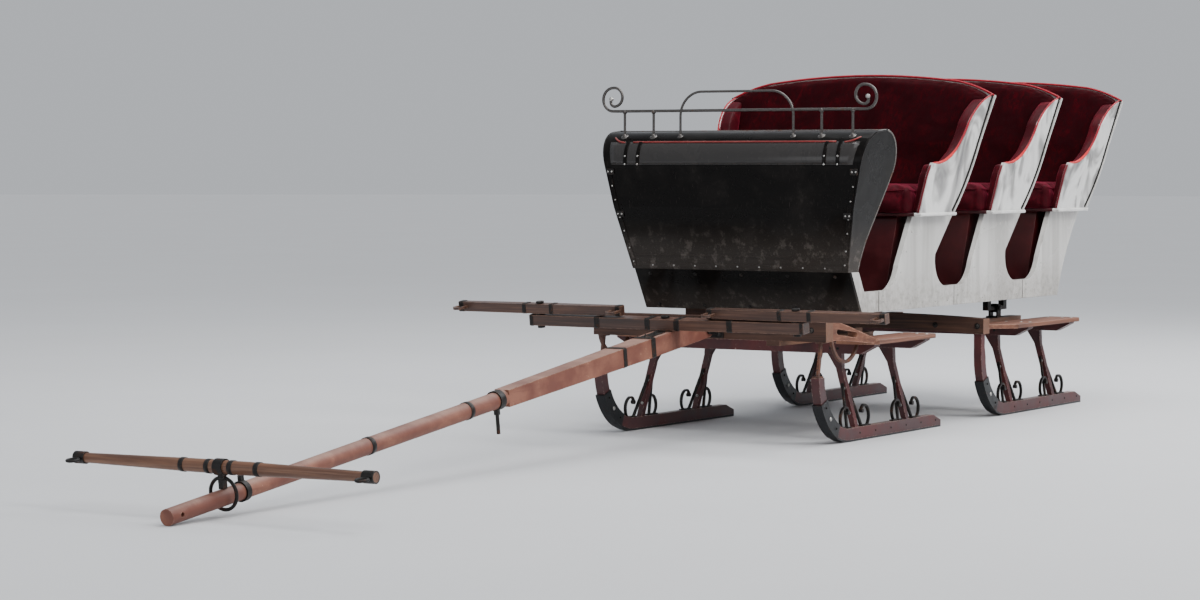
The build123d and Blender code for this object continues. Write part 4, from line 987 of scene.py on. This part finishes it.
fit = Trim()
for y in (432, 492):
    run, outs = front_run(DASH_TOP - 146, DASH_TOP - 40)
    fit.ribbon([P(x, y, z) + o * 0.0024 for x, z, o in run], [LEFT] * len(run), outs, 8, 3)
    for z in (LIP_LOW, DASH_TOP - 100):
        x, zz, o = dash_front(z, 5.2)
        fit.dome(P(x, y, zz), o, 4.2, 3, 1)
run, outs = front_run(DASH_LOW + 8, DASH_TOP - 150)
fit.ribbon([P(x, dash_y(z) - 16, z) + o * 0.0004 for x, z, o in run],
           [Vector((0, 1, DASH_RATE)).normalized()] * len(run), outs, 9, 2.6)
for k in range(7):
    x, z, o = dash_front(DASH_LOW + 30 + k * 62, 3)
    fit.dome(P(x, dash_y(z) - 16, z), o, 3.6, 2.4, 1)
for z in (DASH_LOW + 232, DASH_LOW + 395):
    x, zz, o = dash_front(z, 2.6)
    fit.plate(P(x, dash_y(zz) - 22, zz), LEFT, TOP, o, 17, 12, 3, 2)
    for inset in (30, 13):
        fit.dome(P(x, dash_y(zz) - inset, zz) + o * 0.003, o, 4, 3, 1)
fit.both().make("dash_fittings", "dash_black bolt_zinc iron_black")

low_bar = Trim()
for z, half_w in ((DASH_LOW + 12, 10), (DASH_LOW + 58, 4)):
    x, zz, o = dash_front(z, 0.2)
    reach = dash_y(zz) - 26
    low_bar.ribbon([P(x, y, zz) for y in spread(-reach, reach, 20)], [Vector((o.z, 0, -o.x))] * 21, [o] * 21,
                   half_w, 2.4, 0, 0.8)
x, z, o = dash_front(DASH_LOW + 12, 2.6)
for y in spread(-400, 400, 8):
    low_bar.dome(P(x, y, z), o, 3.6, 2.4, 1)
# A sill closes the slot between the dash and the front panel
low_bar.ribbon([P(1391.5, y, DASH_LOW + 0.1) for y in spread(-496, 496, 20)], [FRONT] * 21, [TOP] * 21,
               13.5, 5)
low_bar.make("dash_lower_strip", "dash_black bolt_zinc")

rail = Trim()
on_hood = [i for i, (x, z) in enumerate(front_line) if z > DASH_TOP - 80]
foot = min(on_hood, key=lambda i: abs(front_line[i][0] - RAIL_X))
o = front_out[foot]
FLANGE = ((17, -0.5), (17, 2.4), (14.5, 3.8), (8.4, 5.2), (6.9, 11), (5, 15))
for y, size in ((529, 1.0), (390, 1.0), (262, 0.78)):
    base = P(RAIL_X, y, front_line[foot][1])
    rail.lathe(base, o, [(r * size, h) for r, h in FLANGE], 20)
    for a in (-11.5, 11.5):
        rail.dome(base + Vector((0, a * size / 1000, 0)) + o * 0.0030, o, 2.6 * size, 2.2, 1)
    if size == 1.0:
        rail.lathe(P(RAIL_X, y, RAIL_Z - 12), TOP,
                   [(5.2, 0.0), (8.4, 3), (9.4, 8), (8.4, 13), (5.2, 16)])
rail.lathe(P(RAIL_X - 9, 594.8, RAIL_Z + 50), FRONT,
           [(0.0, -1.0), (5, 0.0), (8.4, 4), (9.4, 9), (8.4, 14), (5, 18), (0.0, 19)], 16, 1)
rail.both().make("dash_rail_fittings", "rail_iron bolt_zinc", "rail_iron")

# Body trim: screws, sill plates and bolts
screws = Trim()
for row in range(ROWS):
    d = -PITCH * row
    places = [(1092, 40, 3.6, 1.8), (1092, 64, 3.6, 1.8),
              (830, 318, 3.4, 1.6), (880, 238, 3.4, 1.6), (930, 154, 3.4, 1.6)]
    if row < ROWS - 1:
        places += [(480 + k * 120, 22, 3.6, 1.8) for k in range(4)]
    for x, up, r, h in places:
        screws.dome(P(x + d, HALF, BODY_Z + up), LEFT, r, h)
    for z in (SEAT_LOW + 20, SEAT_LOW + 150, SEAT_LOW + 290, SEAT_LOW + 430):
        slope = (back_x(z + 5) - back_x(z - 5)) / 10
        for y in (end_y(z) - 24, 0.3 * end_y(z)):
            screws.dome(P(back_x(z) + d - 14, y, z), (-1.0, 0, slope), 3.4, 1.8)
screws.both().make("body_screws", "bolt_zinc")

seams = Trim()
for row in range(ROWS):
    x = 1118 - PITCH * row
    for off, *shape in ((0.0, 13, 41, 1.6, 0, 0.8), (-14.6, 1.3, 41, 0.5, 1, 0.1),
                        (14.6, 1.3, 41, 0.5, 1, 0.1)):
        seams.plate(P(x + off, HALF, BODY_Z + 43), FRONT, TOP, LEFT, *shape)
seams.both().make("sill_joint_plates", "panel_white iron_black", "panel_white")

front = Trim()
for y in (-430, -215, 0.0, 215, 430):
    for up in (16, 148):
        front.bolt(P(1298 + PANEL_LEAN * up, y, BODY_Z + up), (1.0, 0, -PANEL_LEAN), 5.5, 5)
front.make("front_panel_bolts", "iron_black", "iron_black")


# Bob trim: bolts, rivets and washers
def bob_bolts(b, body):
    """The bolts that both bobs have; b is the bob's own origin along X."""
    t = Trim()
    for deg, size, mat in ((30, 5, 0), (46, 8.5, 1), (60, 5, 0)):
        a = math.radians(deg)
        r = RUNNER_BEND - 31
        x, z = b - 88 + r * math.sin(a), RUNNER_BEND - r * math.cos(a)
        for s in (1, -1):
            t.dome(P(x, HALF + s * 22, z), (0, s, 0), size, 4.5, mat)
    for x in (b + bench for bench in BENCH_X):
        for s in (-1, 1):
            for z, r in ((208, 4.9), (110, 4.2)):
                y = HALF - (z - RUNNER_TOP) * 80 / (348 - RUNNER_TOP)
                t.bolt(P(x + s * 13, y, z), (s, 0, 0), r, 4.6, 1)
            for y in (404, 436):
                t.dome(P(x + s * 25, y, 369), (s, 0, 0), 6, 4)
            for off in (109, 64):
                t.dome(P(x + s * off, HALF, RUNNER_TOP + 5), TOP, 4.6, 3)
        for y in (482, 552, 596):
            t.dome(P(x, y, STEP_TOP), TOP, 7, 2.6, 1)
    for k in range(6):
        t.dome(P(b - 880 + k * 140, HALF + 18, 31), LEFT, 4.4, 2.8)
    if body == "front_bob":
        for y, z, x, r, h in ((300, 455, 1660, 8, 7), (470, 455, 1660, 8, 7),
                              (58, 428, 1668, 6, 6), (58, 482, 1668, 6, 6)):
            t.bolt(P(x, y, z), FRONT, r, h)
        t.lathe(P(HINGE[0], 63, HINGE[1]), LEFT,
                [(9, 0.0), (14, 0.2), (14, 2.4), (6, 2.4), (6, 4), (0.0, 4.4)], 16)
    else:
        t.bolt(P(180, 500, 404), FRONT, 9, 8)
        t.bolt(P(180, 300, 404), FRONT, 8, 7)
        for s in (-1, 1):
            t.lathe(P(-445, 300 + s * 26, 452), (0, s, 0),
                    [(10, 0.0), (13, 0.2), (13, 2.2), (7, 2.2), (0.0, 3.4)], 16)
    t.both().make(body + "_bolts", "iron_black bolt_zinc", "iron_black", body)


bob_bolts(BOB_PITCH, "front_bob")
bob_bolts(0.0, "rear_bob")

# Pulling gear trim, in the pole's own drawing
UP, FORE, SIDE = G_dir(TOP), G_dir(FRONT), Vector(LEFT)

t = Trim()
for s, z, half in ((140, 37, 72), (372, 37, 66), (240, -37, 170)):
    t.plate(G(s, 0, z), FORE, SIDE, UP * z, half, 24, 3)
for s in (90, 160, 340, 415):
    t.bolt(G(s, 0, 40), UP, 7, 6.5)
    t.bolt(G(s, 0, -40), -UP, 7, 6)
t.band(G(432, 0, 0), FORE, SIDE, UP, 84, 74, 30, 2.6)
t.band(G(640, 0, 0), FORE, SIDE, UP, 80.2, 71.6, 24, 2.2)
for s in (1660, 2250):
    t.collar(s - 11, 0, 0, FORE, 31 - 4 * (s - 1430) / 1870, 22, 2)
t.make("pole_straps", "iron_black", "iron_black", "pole")

t = Trim()
for y in (66, 300):
    taper = 1.0 - (y - 60) / 560 * (1 - 50 / 64)
    t.band(G(EVENER_S, y, 64), SIDE, FORE, UP, 64 * taper + 0.4, 42.4, 24, 2.2)
t.band(G(EVENER_S, 611, 64), SIDE, FORE, UP, 50.8, 42.4, 15, 2)
t.both().make("evener_bands", "iron_black", "iron_black", "evener")

for side, name in ((1, "singletree_left"), (-1, "singletree_right")):
    t = Trim()
    for off in (-372, 372):
        y = side * (TREE_Y + off)
        t.band(G(EVENER_S, y, 110), SIDE, FORE, UP, 34.8, 38.4, 22, 2)
        for s in (-1, 1):
            t.dome(G(EVENER_S + s * 19.2, y, 110), FORE * s, 3.6, 2.4)
    for off in (-64, 64):
        t.band(G(EVENER_S, side * (TREE_Y + off), 110.2), SIDE, FORE, UP, 44.4, 38.2, 18, 1.8)
    t.make(name + "_bands", "iron_black", "iron_black", name)

t = Trim()
for y in (46, 150):
    t.collar(YOKE_S, y - 9, YOKE_Z, SIDE, 22 - max(0.0, y - 120) / 80, 18, 1.8)
t.both().make("neck_yoke_bands", "iron_black", "iron_black", "neck_yoke")

# Plain pale floor, soft light and the photograph's viewpoint
FLOOR_HALF = 80
corners = [(-FLOOR_HALF, -FLOOR_HALF, 0), (FLOOR_HALF, -FLOOR_HALF, 0), (FLOOR_HALF, FLOOR_HALF, 0),
           (-FLOOR_HALF, FLOOR_HALF, 0)]
floor_mesh = bpy.data.meshes.new("studio_floor")
floor_mesh.from_pydata(corners, [], [(0, 1, 2, 3)])
f = Finish("studio_floor", Specular_IOR_Level=0.2)
f.colour = f.mix(f.noise(0.6, 3), (208, 209, 211), (202, 203, 205))
f.done(f.span(f.noise(2, 3), 0.3, 0.7, 0.7, 0.8))
floor_mesh.materials.append(M["studio_floor"])
placed("studio_floor", floor_mesh)

world = bpy.data.worlds.new("studio")
world.use_nodes = True
air, strength = world.node_tree.nodes["Background"].inputs[:2]
air.default_value = rgb((226, 230, 236))
strength.default_value = 0.7
scene.world = world


def aimed(obj, way):
    obj.rotation_euler = Vector(way).to_track_quat("-Z", "Y").to_euler()


def soft_light(name, at, aim, size, power, colour=(1, 1, 1)):
    light = given(bpy.data.lights.new(name, "AREA"), shape="RECTANGLE", size=size[0], size_y=size[1],
                  energy=power, color=colour)
    obj = placed(name, light)
    obj.location = at
    aimed(obj, Vector(aim) - Vector(at))


soft_light("key", (0.6, 8.5, 6.5), (-0.8, 0, 0.7), (3.2, 3), 560, (1.0, 0.985, 0.96))
soft_light("fill", (9.5, -3, 3), (0.0, 0, 0.7), (4, 3), 50, (0.95, 0.97, 1.0))
soft_light("top", (-1.6, 0.4, 6.5), (-0.9, 0, 1.0), (5, 2.4), 240)
soft_light("rim", (-7, 2, 5.5), (-1.0, 0, 0.9), (4, 2.5), 320, (0.97, 0.98, 1.0))
sky = given(bpy.data.lights.new("sky", "SUN"), energy=1.5, angle=0.9)
aimed(placed("sky", sky), (-0.30, -0.42, -0.86))

camera = given(bpy.data.cameras.new("photo_view"), lens=90, sensor_width=36, clip_end=100)
scene.camera = placed("photo_view", camera)
scene.camera.location = (10.160, 5.956, 1.12)
aimed(scene.camera, (-0.84876505, -0.52673404, -0.04635885))
